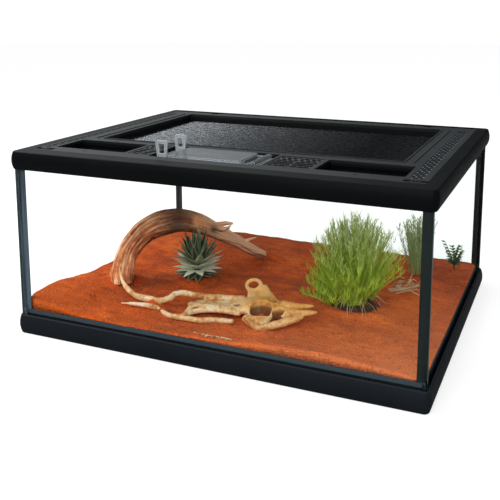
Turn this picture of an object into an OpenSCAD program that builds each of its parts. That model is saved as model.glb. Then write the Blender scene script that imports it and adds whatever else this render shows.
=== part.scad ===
// Low glass reptile terrarium, 60 cm class, with a hinged screen lid,
// a clear feeding hatch in the lid and its desert furnishings.
// Units are millimetres. The origin is on the table under the middle
// of the tank, +X is to the right, the front faces -Y and +Z is up.

/* [Tank] */
// Length of the frames, left to right
tank_w = 600; // [580:1:760]
// Depth of the frames, front to back
tank_d = 480; // [460:1:600]
// Height from the table to the top of the rim
tank_h = 270; // [260:1:400]
// Rounding of the upright corners of both frames
corner_r = 10; // [8:0.5:16]
// How far the faces of both frames swell out at mid height
crown = 3; // [1:0.5:4]

/* [Base frame] */
// Height of the base frame's outer face
base_h = 28; // [24:1:32]
// Height of the lip inside the panes that holds the sand back
lip_h = 35; // [30:1:36]
// Thickness of the lip
lip_t = 3; // [2:0.5:5]
// Height of the shelf that carries the glass
shelf_z = 10; // [8:1:12]
// Thickness of the shelf
shelf_t = 4; // [2.5:0.5:5]
// Reach of the shelf, from the frame's outer face
shelf_reach = 26; // [22:1:40]
// Thickness of the foot rail and of its webs
foot_t = 3; // [2:0.5:5]
// Webs under the shelf along each long side
webs_x = 9; // [4:1:14]
// Webs under the shelf along each short side
webs_y = 7; // [3:1:12]

/* [Glass] */
// Thickness of the four upright panes
pane_t = 5; // [4:0.5:6]
// Thickness of the bottom pane
floor_t = 6; // [4:0.5:8]
// Distance from the frames' outer faces to the panes
pane_inset = 6; // [5.5:0.5:7]
// Clearance round the panes in the frames
pane_gap = 0.3; // [0.1:0.05:0.5]
// Leg of the silicone fillet in the upright corners
seal_leg = 8.5; // [5:0.5:10]
// Silicone joint between two panes
joint_t = 0.8; // [0.5:0.1:1.5]
// Leg of the silicone bead round the bottom pane
bead_leg = 4; // [2:0.5:6]

/* [Rim] */
// Height of the rim's outer face
rim_h = 26; // [22:1:30]
// Rounding of the rim's and the base's outer edges
edge_r = 2; // [1:0.5:3]
// Width of the rim's top at the left and right
rim_side = 20; // [17:1:24]
// Width of the rim's top at the front
rim_front = 29; // [22:1:34]
// Width of the rim's top at the back
rim_back = 10; // [9:1:12]
// Wall thickness of the rim and the lid
wall = 3; // [2.5:0.25:3.5]
// Reach of the ledge that carries the lid
ledge_reach = 8; // [5:0.5:9]
// Thickness of the skirt behind the panes
skirt_t = 2.5; // [2:0.5:3]
// Height of the skirt below the ledge
skirt_drop = 8; // [4:0.5:12]

/* [Lid] */
// Height of the lid's edge
lid_h = 12; // [11:0.5:13]
// Gap between the lid and the rim at the front and the sides
lid_gap = 0.5; // [0.3:0.1:1]
// Groove between the lid's round back edge and the rim
groove = 4; // [3.5:0.5:5]
// Gap between the lid's underside and the ledge
seat_gap = 0.3; // [0.2:0.1:0.5]
// Margin from the lid's left edge to the screen window
window_left = 44; // [42:0.5:60]
// Margin from the lid's right edge to the screen window
window_right = 51; // [49:0.5:70]
// Margin from the lid's front edge to the screen window
window_front = 114; // [112:0.5:140]
// Margin from the hinge axis to the screen window
window_back = 32; // [26:0.5:60]
// Width of the raised bead round the window
bead_w = 2; // [1.5:0.5:3]
// Height of the raised beads on the lid
bead_h = 1.2; // [0.6:0.1:2]
// Distance between the window and the outer bead beside it
bead_step = 12; // [9:0.5:13]

/* [Screen] */
// Thickness of the screen
screen_t = 1.2; // [0.8:0.1:1.6]
// Width of one screen wire
screen_wire = 1.4; // [0.8:0.1:2]
// Gaps between wires across the length of the screen
screen_nx = 20; // [8:1:24]
// Gaps between wires across the depth of the screen
screen_ny = 14; // [6:1:15]
// How far the screen reaches under the window's edge
screen_lap = 2.5; // [1.5:0.25:3]
// Width of the frame that clamps the screen
clamp_w = 9; // [8.5:0.25:9.5]
// Thickness of the clamping frame
clamp_t = 2.8; // [2.4:0.1:4]
// Radius of the clamping screws' shanks
screw_r = 1.4; // [1:0.1:1.6]
// Radius of the clamping screws' heads
screw_head_r = 2.7; // [2.2:0.1:3]

/* [Vents] */
// Width of the left vent strip
vent_left_w = 10; // [8:0.5:11]
// Width of the right vent strip
vent_right_w = 16; // [10:0.5:17]
// Margin from the lid's left edge to the left vent strip
vent_left_edge = 5; // [4:0.5:6]
// Margin from the lid's right edge to the right vent strip
vent_right_edge = 8; // [7:0.5:9]
// Depth that the vent strips and grilles lie below the lid's top
vent_sink = 0.8; // [0.3:0.1:2]
// Thickness of the vent strips and grilles
vent_t = 3; // [2:0.5:4]
// Slots in each vent strip
vent_slots = 56; // [20:1:60]
// Width of one vent slot
vent_slot_w = 2.6; // [1.5:0.1:3]
// Length of the left grille, which leaves the rest of its side to the left port
grille_left_w = 33.5; // [20:0.5:40]
// Slots in each column of the grilles beside the hatch
grille_slots = 6; // [3:1:8]
// Width of one grille slot
grille_slot_w = 5; // [3:0.5:6]

/* [Ports] */
// Length of the right port recess
port_w = 115; // [80:1:118]
// Depth of each port recess, front to back
port_d = 66; // [50:1:68]
// Distance from the lid's front edge to the middle of the ports
row_y = 60; // [59:0.5:62]
// Margin from the left vent strip to the left port
port_left_gap = 5; // [4:0.5:8]
// Margin from the right vent strip to the right port
port_right_gap = 6; // [5:0.5:8]
// Wall of the port covers
cover_t = 1.8; // [1.2:0.1:2.5]
// Height that a port cover's wall stands up inside the recess
cover_up = 5; // [3:0.5:8]
// Distance from a port's front edge to its clip
clip_front = 11; // [8:0.5:13]
// Distance from a port's back edge to its clip
clip_back = 5; // [4.5:0.5:6]
// Length of a cover's clip
clip_w = 8; // [5:0.5:12]
// Thickness of a cover's clip
clip_t = 2.2; // [1.5:0.1:3]

/* [Hatch] */
// Distance from the tank's middle to the hatch's hinge
hatch_x = 47; // [30:0.5:50]
// Length of the hatch's raised plate
plate_w = 110; // [90:0.5:110]
// Depth of the hatch's raised plate
plate_d = 68; // [60:0.5:70]
// Height of the raised plate's top above the rim
plate_up = 1.3; // [0.5:0.1:3]
// Depth of the recess under the hatch
recess_h = 7.5; // [7:0.25:8]
// Wall of the clear mouldings
clear_t = 2.2; // [1.5:0.1:3]
// Bevel of the plate's top edge
plate_bevel = 2; // [1:0.25:2]
// Distance from the hinge to the plate's right end
arm_l = 15; // [12:0.5:17]
// Width of one hinge arm
arm_w = 7; // [5:0.5:8]
// Outer radius of the hatch's knuckles
knuckle_r = 3.9; // [3.2:0.1:4.2]
// Radius of both kinds of hinge pin
pin_r = 1.5; // [1.2:0.1:1.8]
// Running clearance of a pin in its bore
pin_gap = 0.05; // [0.03:0.01:0.09]

/* [Catches] */
// Length of the shelf that carries the two catches
shelf_l = 19; // [18:0.5:22]
// Width of a catch at its foot
catch_w = 14; // [10:0.5:14]
// Thickness of a catch
catch_t = 3; // [2:0.25:3.5]
// Height of a catch's top above the rim
catch_up = 20; // [12:0.5:30]
// Reach of a catch's nose
nose_reach = 1.7; // [1:0.1:2]
// Height from a catch's pivot to its nose
nose_arm = 8.6; // [7:0.1:12]
// Radius of the catches' pins
catch_pin_r = 1.25; // [1:0.05:1.5]

/* [Lid hinges and locks] */
// Distance from the tank's middle to each lid hinge
hinge_x = 200; // [120:1:220]
// Width of a hinge lug on the rim
lug_w = 14; // [8:0.5:20]
// Radius of a hinge lug
lug_r = 5; // [4:0.25:5.5]
// Depth of a lid lock, front to back
lock_d = 11.4; // [8:0.2:12]
// Length of a lid lock
lock_l = 20; // [16:0.5:22]
// Travel of a lid lock
lock_travel = 6; // [4:0.5:7]
// Height of a lid lock
lock_h = 6; // [5:0.25:6.5]
// Distance from the lid's front edge to the lid locks
lock_y = 10; // [9.5:0.25:11]

/* [Sand] */
// Height of the sand where it lies level
sand_z = 37; // [36:0.5:60]
// Height of the mound at the front left
mound_h = 17; // [5:0.5:30]
// Height of the bank along the front glass
bank_h = 11; // [3:0.5:20]
// Height of the dune behind the driftwood
dune_h = 9; // [3:0.5:25]
// Height of the wind ripples
ripple_h = 1; // [0:0.1:3]

/* [Furnishings] */
// Gap between a furnishing and the sand that it stands on
rest_gap = 0.2; // [0.1:0.1:0.5]
// Thickness of the driftwood at its thickest
wood_r = 17; // [10:0.5:22]
// Length of the skull ornament
skull_l = 322; // [220:1:330]
// Length of a succulent leaf
leaf_l = 55; // [35:1:56]
// Height of the tall grass tuft
grass_h = 148; // [60:1:150]
// Blades in the tall grass tuft
grass_n = 96; // [30:1:120]
// Height of the rear grass tuft
rear_h = 104; // [40:1:110]
// Blades in the rear grass tuft
rear_n = 34; // [12:1:60]

/* [Hidden] */
$fn = 48;

// A little more than a face's depth, for cuts that run through
over = 1;

// Glass
glass_z0 = shelf_z;
pane_out_w = tank_w - 2 * pane_inset;
pane_out_d = tank_d - 2 * pane_inset;
inner_w = pane_out_w - 2 * pane_t;
inner_d = pane_out_d - 2 * pane_t;
slot_out = pane_inset - pane_gap;
slot_in = pane_inset + pane_t + pane_gap;
lip_in = slot_in + lip_t;

// Rim and lid levels
ledge_z = tank_h - lid_h - seat_gap;
lid_z = tank_h - lid_h;
glass_z1 = ledge_z - 2;
slot_top = glass_z1 + pane_gap;
pane_h = glass_z1 - glass_z0;
rim_z = tank_h - rim_h;
skirt_z = ledge_z - wall - skirt_drop;

// Rim pocket and lid outline, as left, right, front and back coordinates
pocket = [-tank_w / 2 + rim_side, tank_w / 2 - rim_side, -tank_d / 2 + rim_front, tank_d / 2 - rim_back];
nose_r = lid_h / 2;
axis_y = pocket[3] - groove - nose_r;
axis_z = tank_h - nose_r;
lid_x0 = pocket[0] + lid_gap;
lid_x1 = pocket[1] - lid_gap;
lid_y0 = pocket[2] + lid_gap;
window = [lid_x0 + window_left, lid_x1 - window_right, lid_y0 + window_front, axis_y - window_back];

// Vents, ports and hatch
vent_y0 = lid_y0 + lock_y + lock_d / 2 + 5;
vent_y1 = axis_y - window_back;
vent_l = [lid_x0 + vent_left_edge, lid_x0 + vent_left_edge + vent_left_w];
vent_r = [lid_x1 - vent_right_edge - vent_right_w, lid_x1 - vent_right_edge];
row = lid_y0 + row_y;
port_r = [vent_r[0] - port_right_gap - port_w, vent_r[0] - port_right_gap];
knuckle_gap = 0.6;
port_step = 5;
recess_z = tank_h - recess_h;
sill_z = recess_z - wall;
hinge_z = recess_z + knuckle_r + knuckle_gap;
plate_x1 = hatch_x - arm_l;
plate_x0 = plate_x1 - plate_w;
shelf_x0 = plate_x0 - shelf_l;
recess = [shelf_x0 - 6, hatch_x + 15, row - 40, row + 40];
opening = [shelf_x0 - 2, plate_x1 + 2, row - 30, row + 30];
grille_l = [recess[0] - wall - grille_left_w, recess[0] - wall];
port_l = [vent_l[1] + port_left_gap, grille_l[0] - port_step];
grille_r = [recess[1] + wall + 1, port_r[0] - port_step - 1];
plate_z0 = recess_z + seat_gap;
plate_z1 = tank_h + plate_up;
catch_shelf_t = 3.2;
shelf_top = plate_z0 + catch_shelf_t;

// Catches
catch_x = shelf_x0 + shelf_l / 2;
nose_z = sill_z - 0.4;
pivot_z = nose_z - 1.4 - nose_arm + 1;
catch_y = opening[2] + 0.3 + nose_reach + catch_t / 2;
catch_top = tank_h + catch_up;
catch_gap = 0.3;
lug_t = (shelf_l - catch_w) / 2 - catch_gap;

// Locks
lock_cy = lid_y0 + lock_y;
lock_z = tank_h - lock_h - 1;
lock_x = lid_x1 - 1;

// Frame face: swell of a circle through the top, the middle and the bottom edge
function crown_radius(h) = (h * h / 4 + crown * crown) / (2 * crown);

// Outline pieces that more than one part uses
module round_rect(w, d, r) {
    square([w - 2 * r, d], center = true);
    square([w, d - 2 * r], center = true);
    for (sx = [-1, 1], sy = [-1, 1])
        translate([sx * (w / 2 - r), sy * (d / 2 - r)])
            circle(r = r);
}

module box(x0, x1, y0, y1, z0, z1) {
    translate([x0, y0, z0])
        cube([x1 - x0, y1 - y0, z1 - z0]);
}

module round_box(x0, x1, y0, y1, z0, z1, r) {
    translate([(x0 + x1) / 2, (y0 + y1) / 2, z0])
        linear_extrude(z1 - z0)
            round_rect(x1 - x0, y1 - y0, r);
}

// A ring of the frame's outline between two insets
module ring(inset0, inset1, z0, z1) {
    translate([0, 0, z0])
        linear_extrude(z1 - z0)
            difference() {
                round_rect(tank_w - 2 * inset0, tank_d - 2 * inset0, max(corner_r - inset0, 0.5));
                square([tank_w - 2 * inset1, tank_d - 2 * inset1], center = true);
            }
}

// Sweeps a profile, drawn as inset and height, round the frame's outline
module frame_sweep() {
    run_x = tank_w - 2 * corner_r;
    run_y = tank_d - 2 * corner_r;
    for (s = [0, 1]) {
        mirror([0, s, 0])
            translate([-run_x / 2, -tank_d / 2, 0])
                rotate([90, 0, 90])
                    linear_extrude(run_x)
                        children();
        mirror([s, 0, 0])
            rotate([0, 0, -90])
                translate([-run_y / 2, -tank_w / 2, 0])
                    rotate([90, 0, 90])
                        linear_extrude(run_y)
                            children();
        for (t = [0, 1])
            mirror([s, 0, 0])
                mirror([0, t, 0])
                    translate([tank_w / 2 - corner_r, tank_d / 2 - corner_r, 0])
                        rotate_extrude(angle = 90)
                            translate([corner_r, 0])
                                mirror([1, 0])
                                    children();
    }
}

// Middle of the circle that rounds a face's edge and lies just inside the crown
function edge_x(h) = crown_radius(h) - sqrt(pow(crown_radius(h) - edge_r, 2) - pow(h / 2 - edge_r, 2));

// Crowned face of a frame with rounded top and bottom edges
module face_profile(h) {
    r = crown_radius(h);
    c = [edge_x(h), edge_r];
    out = (c - [r, h / 2]) / (r - edge_r);
    difference() {
        intersection() {
            square([slot_out, h]);
            translate([r, h / 2])
                circle(r = r, $fn = 96);
        }
        for (s = [0, 1])
            translate([0, s * h])
                mirror([0, s, 0])
                    difference() {
                        polygon([c, c + 3 * edge_r * out, [-2, -over], [c[0], -over]]);
                        translate(c)
                            circle(r = edge_r + 0.02);
                    }
    }
}

// Straight-cornered room that the square corners of the panes need inside a frame
module pane_room(z0, z1) {
    half_w = tank_w / 2 - slot_out;
    half_d = tank_d / 2 - slot_out;
    box(-half_w, half_w, -half_d, half_d, z0, z1);
}

module base_frame() {
    web_mid = (slot_out + shelf_reach) / 2 - 1;
    web_h = shelf_z - shelf_t + 1;
    color("#23282c")
    union() {
        difference() {
            frame_sweep()
                face_profile(base_h);
            pane_room(shelf_z, base_h + over);
        }
        ring(slot_out - 1.5, shelf_reach, shelf_z - shelf_t, shelf_z);
        ring(slot_in, lip_in, shelf_z - 1, lip_h);
        ring(shelf_reach - foot_t, shelf_reach, 0, shelf_z - shelf_t + 1);
        for (i = [1 : webs_x - 1], s = [-1, 1])
            translate([(i / webs_x - 0.5) * tank_w, s * (tank_d / 2 - web_mid), web_h / 2])
                cube([foot_t, shelf_reach - slot_out, web_h], center = true);
        for (i = [1 : webs_y - 1], s = [-1, 1])
            translate([s * (tank_w / 2 - web_mid), (i / webs_y - 0.5) * tank_d, web_h / 2])
                cube([shelf_reach - slot_out, foot_t, web_h], center = true);
    }
}

module lock_slot(side) {
    mirror([side < 0 ? 1 : 0, 0, 0])
        box(pocket[1] - over, pocket[1] + wall + 4, lock_cy - lock_d / 2 + 0.6, lock_cy + lock_d / 2 - 0.6,
            lock_z + 0.7, lock_z + lock_h - 0.9);
}

module hinge_lug(side) {
    translate([side * hinge_x - lug_w / 2, axis_y, axis_z])
        rotate([0, 90, 0])
            cylinder(r = lug_r, h = lug_w);
    box(side * hinge_x - lug_w / 2, side * hinge_x + lug_w / 2, axis_y - lug_r + 1, pocket[3] + 1,
        ledge_z - 1, axis_z);
}

module rim_shell() {
    difference() {
        union() {
            translate([0, 0, rim_z])
                frame_sweep()
                    face_profile(rim_h);
            ring(slot_out - 1.2, rim_side, tank_h - wall, tank_h);
            box(-tank_w / 2 + rim_side, tank_w / 2 - rim_side, -tank_d / 2 + slot_in, pocket[2],
                tank_h - wall, tank_h);
            ring(slot_in, slot_in + skirt_t, skirt_z, tank_h - 1);
            round_box(pocket[0] - wall, pocket[1] + wall, pocket[2] - wall, pocket[3] + wall,
                ledge_z - wall, tank_h, 6);
        }
        round_box(pocket[0], pocket[1], pocket[2], pocket[3], ledge_z, tank_h + over, 5);
        box(pocket[0] + ledge_reach, pocket[1] - ledge_reach, pocket[2] + ledge_reach, pocket[3] - ledge_reach,
            skirt_z - over, tank_h);
        difference() {
            pane_room(rim_z - over, slot_top);
            box(-tank_w / 2 + slot_in, tank_w / 2 - slot_in, -tank_d / 2 + slot_in, tank_d / 2 - slot_in,
                rim_z - 2 * over, slot_top + over);
        }
        lock_slot(-1);
        lock_slot(1);
    }
}

module top_frame() {
    color("#1d2124")
    union() {
        rim_shell();
        for (side = [-1, 1])
            difference() {
                hinge_lug(side);
                translate([side * hinge_x, axis_y, axis_z])
                    rotate([0, 90, 0])
                        cylinder(r = pin_r + pin_gap, h = 2 * lug_w, center = true);
            }
    }
}

module long_pane(y0) {
    color("#d6ecec", 0.25)
        box(-pane_out_w / 2, pane_out_w / 2, y0, y0 + pane_t, glass_z0, glass_z1);
}

module side_pane(x0) {
    half = inner_d / 2 - joint_t;
    color("#d6ecec", 0.25)
        box(x0, x0 + pane_t, -half, half, glass_z0, glass_z1);
}

module bottom_pane() {
    gap = 0.5;
    color("#d6ecec", 0.25)
        box(-tank_w / 2 + lip_in + gap, tank_w / 2 - lip_in - gap, -tank_d / 2 + lip_in + gap,
            tank_d / 2 - lip_in - gap, shelf_z, shelf_z + floor_t);
}

// Concave silicone fillet in an inner corner, with the joint behind it
module corner_seal() {
    z0 = lip_h;
    z1 = skirt_z;
    translate([inner_w / 2, inner_d / 2, z0])
        linear_extrude(z1 - z0) {
            difference() {
                translate([-seal_leg, -seal_leg])
                    square(seal_leg);
                translate([-seal_leg, -seal_leg])
                    circle(r = seal_leg);
            }
            translate([0, -joint_t])
                square([pane_t, joint_t]);
        }
}

module corner_seals() {
    color("#14181a")
    for (s = [0, 1], t = [0, 1])
        mirror([s, 0, 0])
            mirror([0, t, 0])
                corner_seal();
}

// Straight silicone beads between the bottom pane and the lip
module floor_bead(length, reach) {
    translate([-length / 2, -reach, shelf_z + floor_t])
        rotate([90, 0, 90])
            linear_extrude(length)
                difference() {
                    square(bead_leg);
                    translate([bead_leg, bead_leg])
                        circle(r = bead_leg);
                }
}

module floor_seal() {
    half_w = tank_w / 2 - lip_in;
    half_d = tank_d / 2 - lip_in;
    color("#14181a") {
        for (s = [0, 1])
            mirror([0, s, 0])
                floor_bead(2 * half_w - 2 * bead_leg - 1, half_d);
        for (s = [0, 1])
            mirror([s, 0, 0])
                rotate([0, 0, -90])
                    floor_bead(2 * half_d - 2 * bead_leg - 1, half_w);
    }
}

module lid_hinge_pins() {
    length = lug_w + 18;
    color("#8f979b")
    for (side = [-1, 1])
        translate([side * hinge_x - length / 2, axis_y, axis_z])
            rotate([0, 90, 0])
                cylinder(r = pin_r, h = length);
}

// Hollow under the lid, split into cells by ribs
module rib_cells(x0, x1, y0, y1, cells) {
    pitch = (x1 - x0) / cells;
    for (i = [0 : cells - 1])
        box(x0 + i * pitch + wall / 4, x0 + (i + 1) * pitch - wall / 4, y0, y1, lid_z - over, tank_h - wall);
}

module lock_pocket(side) {
    reach = lock_l + lock_travel + 2.5;
    mirror([side < 0 ? 1 : 0, 0, 0]) {
        box(lid_x1 - reach, lid_x1 + over, lock_cy - lock_d / 2 - 0.3, lock_cy + lock_d / 2 + 0.3,
            lock_z - 0.3, tank_h + over);
        box(lid_x1 - reach, lid_x1 + over, lock_cy - lock_d / 2 - 1.5, lock_cy + lock_d / 2 + 1.5,
            lock_z - 0.3, lock_z + 2.3);
    }
}

// Seat for a strip that drops in from above onto a step
module drop_seat(x0, x1, y0, y1, step) {
    seat = tank_h - vent_sink - vent_t;
    box(x0, x1, y0, y1, seat, tank_h + over);
    box(x0 + step, x1 - step, y0 + step, y1 - step, lid_z - over, tank_h);
}

module clip_slots(x0, x1) {
    mid = (x0 + x1) / 2;
    gap = 0.3;
    for (y = [row - port_d / 2 - clip_front, row + port_d / 2 + clip_back])
        box(mid - clip_w / 2 - gap, mid + clip_w / 2 + gap, y - clip_t / 2 - gap, y + clip_t / 2 + gap,
            lid_z - over, tank_h + over);
}

module screw_points() {
    inset = clamp_w / 2 + 0.4;
    nx = 4;
    for (i = [0 : nx - 1], y = [window[2] - inset, window[3] + inset])
        translate([window[0] + (window[1] - window[0]) * (i + 0.5) / nx, y, 0])
            children();
    for (x = [window[0] - inset, window[1] + inset], t = [0.25, 0.75])
        translate([x, window[2] + (window[3] - window[2]) * t, 0])
            children();
}

module lid_frame() {
    pin_half = lug_w / 2 + 9.5;
    strip_cell = 9;
    color("#2b3033")
    difference() {
        union() {
            round_box(lid_x0, lid_x1, lid_y0, axis_y - 1, lid_z, tank_h, 4.5);
            box(lid_x0, lid_x1, axis_y - 12, axis_y, lid_z, tank_h);
            translate([lid_x0, axis_y, axis_z])
                rotate([0, 90, 0])
                    cylinder(r = nose_r, h = lid_x1 - lid_x0);
            round_box(window[0] - bead_w, window[1] + bead_w, window[2] - bead_w, window[3] + bead_w,
                tank_h - 1, tank_h + bead_h, 3);
            box(window[1] + bead_step, window[1] + bead_step + bead_w, window[2], window[3],
                tank_h - 1, tank_h + bead_h);
            box(window[0] - bead_step - bead_w, window[0] - bead_step, window[2], window[3],
                tank_h - 1, tank_h + bead_h);
        }
        // Screen window
        round_box(window[0], window[1], window[2], window[3], lid_z - over, tank_h + 2 * over, 2);
        // Vents, grilles and ports
        drop_seat(vent_l[0], vent_l[1], vent_y0, vent_y1, 1.5);
        drop_seat(vent_r[0], vent_r[1], vent_y0, vent_y1, 1.5);
        drop_seat(grille_l[0], grille_l[1], row - port_d / 2, row + port_d / 2, 2);
        drop_seat(grille_r[0], grille_r[1], row - port_d / 2, row + port_d / 2, 2);
        for (p = [port_l, port_r]) {
            round_box(p[0], p[1], row - port_d / 2, row + port_d / 2, lid_z - over, tank_h + over, 3);
            clip_slots(p[0], p[1]);
        }
        // Hatch recess and opening
        round_box(recess[0], recess[1], recess[2], recess[3], recess_z, tank_h + over, 5);
        box(recess[0] + wall, recess[1] - wall, recess[2] + wall, recess[3] - wall, lid_z - over, sill_z);
        box(opening[0], opening[1], opening[2], opening[3], lid_z - over, recess_z + over);
        // Locks and hinges
        lock_pocket(-1);
        lock_pocket(1);
        for (side = [-1, 1]) {
            box(side * hinge_x - lug_w / 2 - 0.6, side * hinge_x + lug_w / 2 + 0.6, axis_y - 9,
                axis_y + nose_r + over, lid_z - over, tank_h + over);
            translate([side * hinge_x, axis_y, axis_z])
                rotate([0, 90, 0])
                    cylinder(r = pin_r + pin_gap, h = 2 * pin_half, center = true);
        }
        // Hollows under the front strip and the back strip
        rib_cells(lid_x0 + 36, lid_x1 - 36, lid_y0 + wall, lid_y0 + wall + strip_cell, 8);
        rib_cells(lid_x0 + 8, lid_x1 - 8, window[3] + clamp_w + 2, axis_y - 11, 9);
        screw_points()
            translate([0, 0, lid_z - over])
                cylinder(r = screw_r + 0.1, h = 8 + over);
    }
}

// Straight wires of one layer of the screen, side by side
module wires(span, length, count) {
    step = (span - screen_wire) / count;
    for (i = [0 : count])
        translate([i * step, 0, 0])
            cube([screen_wire, length, screen_t / 2]);
}

module screen_long_wires() {
    w = window[1] - window[0] + 2 * screen_lap;
    d = window[3] - window[2] + 2 * screen_lap;
    color("#3a3f42")
    translate([window[0] - screen_lap, window[3] + screen_lap, lid_z - screen_t])
        rotate([0, 0, -90])
            wires(d, w, screen_ny);
}

module screen_cross_wires() {
    w = window[1] - window[0] + 2 * screen_lap;
    d = window[3] - window[2] + 2 * screen_lap;
    color("#3a3f42")
    translate([window[0] - screen_lap, window[2] - screen_lap, lid_z - screen_t / 2])
        wires(w, d, screen_nx);
}

module screen_clamp() {
    lap = screen_lap + 0.3;
    color("#1b1e20")
    difference() {
        round_box(window[0] - clamp_w, window[1] + clamp_w, window[2] - clamp_w, window[3] + clamp_w,
            lid_z - clamp_t, lid_z, 4);
        box(window[0], window[1], window[2], window[3], lid_z - clamp_t - over, lid_z + over);
        box(window[0] - lap, window[1] + lap, window[2] - lap, window[3] + lap,
            lid_z - screen_t - 0.1, lid_z + over);
        screw_points()
            translate([0, 0, lid_z - clamp_t - over])
                cylinder(r = screw_r + 0.1, h = clamp_t + 2 * over);
    }
}

module clamp_screws() {
    color("#6d7478")
    screw_points() {
        translate([0, 0, lid_z - clamp_t])
            cylinder(r = screw_r, h = clamp_t + 6.5);
        translate([0, 0, lid_z - clamp_t - 1.6])
            cylinder(r1 = screw_head_r - 0.8, r2 = screw_head_r, h = 1.6);
    }
}

// A strip with a row of cross slots and a raised edge
module slotted_strip(x0, x1, y0, y1, slots) {
    gap = 0.2;
    z1 = tank_h - vent_sink;
    z0 = z1 - vent_t;
    length = y1 - y0 - 6;
    pitch = length / slots;
    slot_w = min(vent_slot_w, pitch - 1.2);
    difference() {
        box(x0 + gap, x1 - gap, y0 + gap, y1 - gap, z0, z1);
        for (i = [0 : slots - 1])
            box(x0 + 2.5, x1 - 2.5, y0 + 3 + (i + 0.5) * pitch - slot_w / 2,
                y0 + 3 + (i + 0.5) * pitch + slot_w / 2, z0 - over, z1 + over);
    }
}

module left_vent_strip() {
    color("#262b2e")
        slotted_strip(vent_l[0], vent_l[1], vent_y0, vent_y1, vent_slots);
}

module right_vent_strip() {
    color("#262b2e")
        slotted_strip(vent_r[0], vent_r[1], vent_y0, vent_y1, vent_slots);
}

// Two columns of slots with sloping louvre blades between them
module grille(x0, x1) {
    gap = 0.2;
    z1 = tank_h - vent_sink;
    z0 = z1 - vent_t;
    y0 = row - port_d / 2;
    pitch = (port_d - 6) / grille_slots;
    mid = (x0 + x1) / 2;
    color("#262b2e")
    difference() {
        box(x0 + gap, x1 - gap, y0 + gap, y0 + port_d - gap, z0, z1);
        for (i = [0 : grille_slots - 1], c = [[x0 + 3, mid - 1.5], [mid + 1.5, x1 - 3]])
            translate([c[0], y0 + 3 + (i + 0.5) * pitch, (z0 + z1) / 2])
                rotate([35, 0, 0])
                    translate([0, -grille_slot_w / 2, -2 * vent_t])
                        cube([c[1] - c[0], grille_slot_w, 4 * vent_t]);
    }
}

module left_grille() {
    grille(grille_l[0], grille_l[1]);
}

module right_grille() {
    grille(grille_r[0], grille_r[1]);
}

// Blank that closes a port from below, with two clips up through the lid
module port_cover(p) {
    lap = 3;
    gap = 0.4;
    z1 = lid_z;
    z0 = z1 - 2.4;
    mid = (p[0] + p[1]) / 2;
    yf = row - port_d / 2;
    yb = row + port_d / 2;
    color("#121415")
    difference() {
        union() {
            round_box(p[0] - lap, p[1] + lap, yf - lap, yb + lap, z0, z1, 4);
            round_box(p[0] + gap, p[1] - gap, yf + gap, yb - gap, z0, z1 + cover_up, 2.6);
            for (y = [yf - clip_front, yb + clip_back])
                box(mid - clip_w / 2, mid + clip_w / 2, y - clip_t / 2, y + clip_t / 2, z0, tank_h - 0.6);
            box(mid - clip_w / 2, mid + clip_w / 2, yf - clip_front - clip_t / 2, yb + clip_back + clip_t / 2,
                z0, z1);
        }
        round_box(p[0] + gap + cover_t, p[1] - gap - cover_t, yf + gap + cover_t, yb - gap - cover_t,
            z1, z1 + cover_up + over, 1);
    }
}

module left_port_cover() {
    port_cover(port_l);
}

module right_port_cover() {
    port_cover(port_r);
}

// A plate with round corners and a bevelled top edge
module bevel_plate(w, d, h, r, c) {
    linear_extrude(h - c)
        round_rect(w, d, r);
    translate([0, 0, h - c]) {
        for (sx = [-1, 1], sy = [-1, 1])
            translate([sx * (w / 2 - r), sy * (d / 2 - r), 0])
                cylinder(r1 = r, r2 = r - c, h = c);
        translate([-w / 2 + r, 0, 0])
            rotate([90, 0, 90])
                linear_extrude(w - 2 * r)
                    polygon([[-d / 2, 0], [d / 2, 0], [d / 2 - c, c], [-d / 2 + c, c]]);
        translate([0, d / 2 - r, 0])
            rotate([90, 0, 0])
                linear_extrude(d - 2 * r)
                    polygon([[-w / 2, 0], [w / 2, 0], [w / 2 - c, c], [-w / 2 + c, c]]);
    }
}

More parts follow.
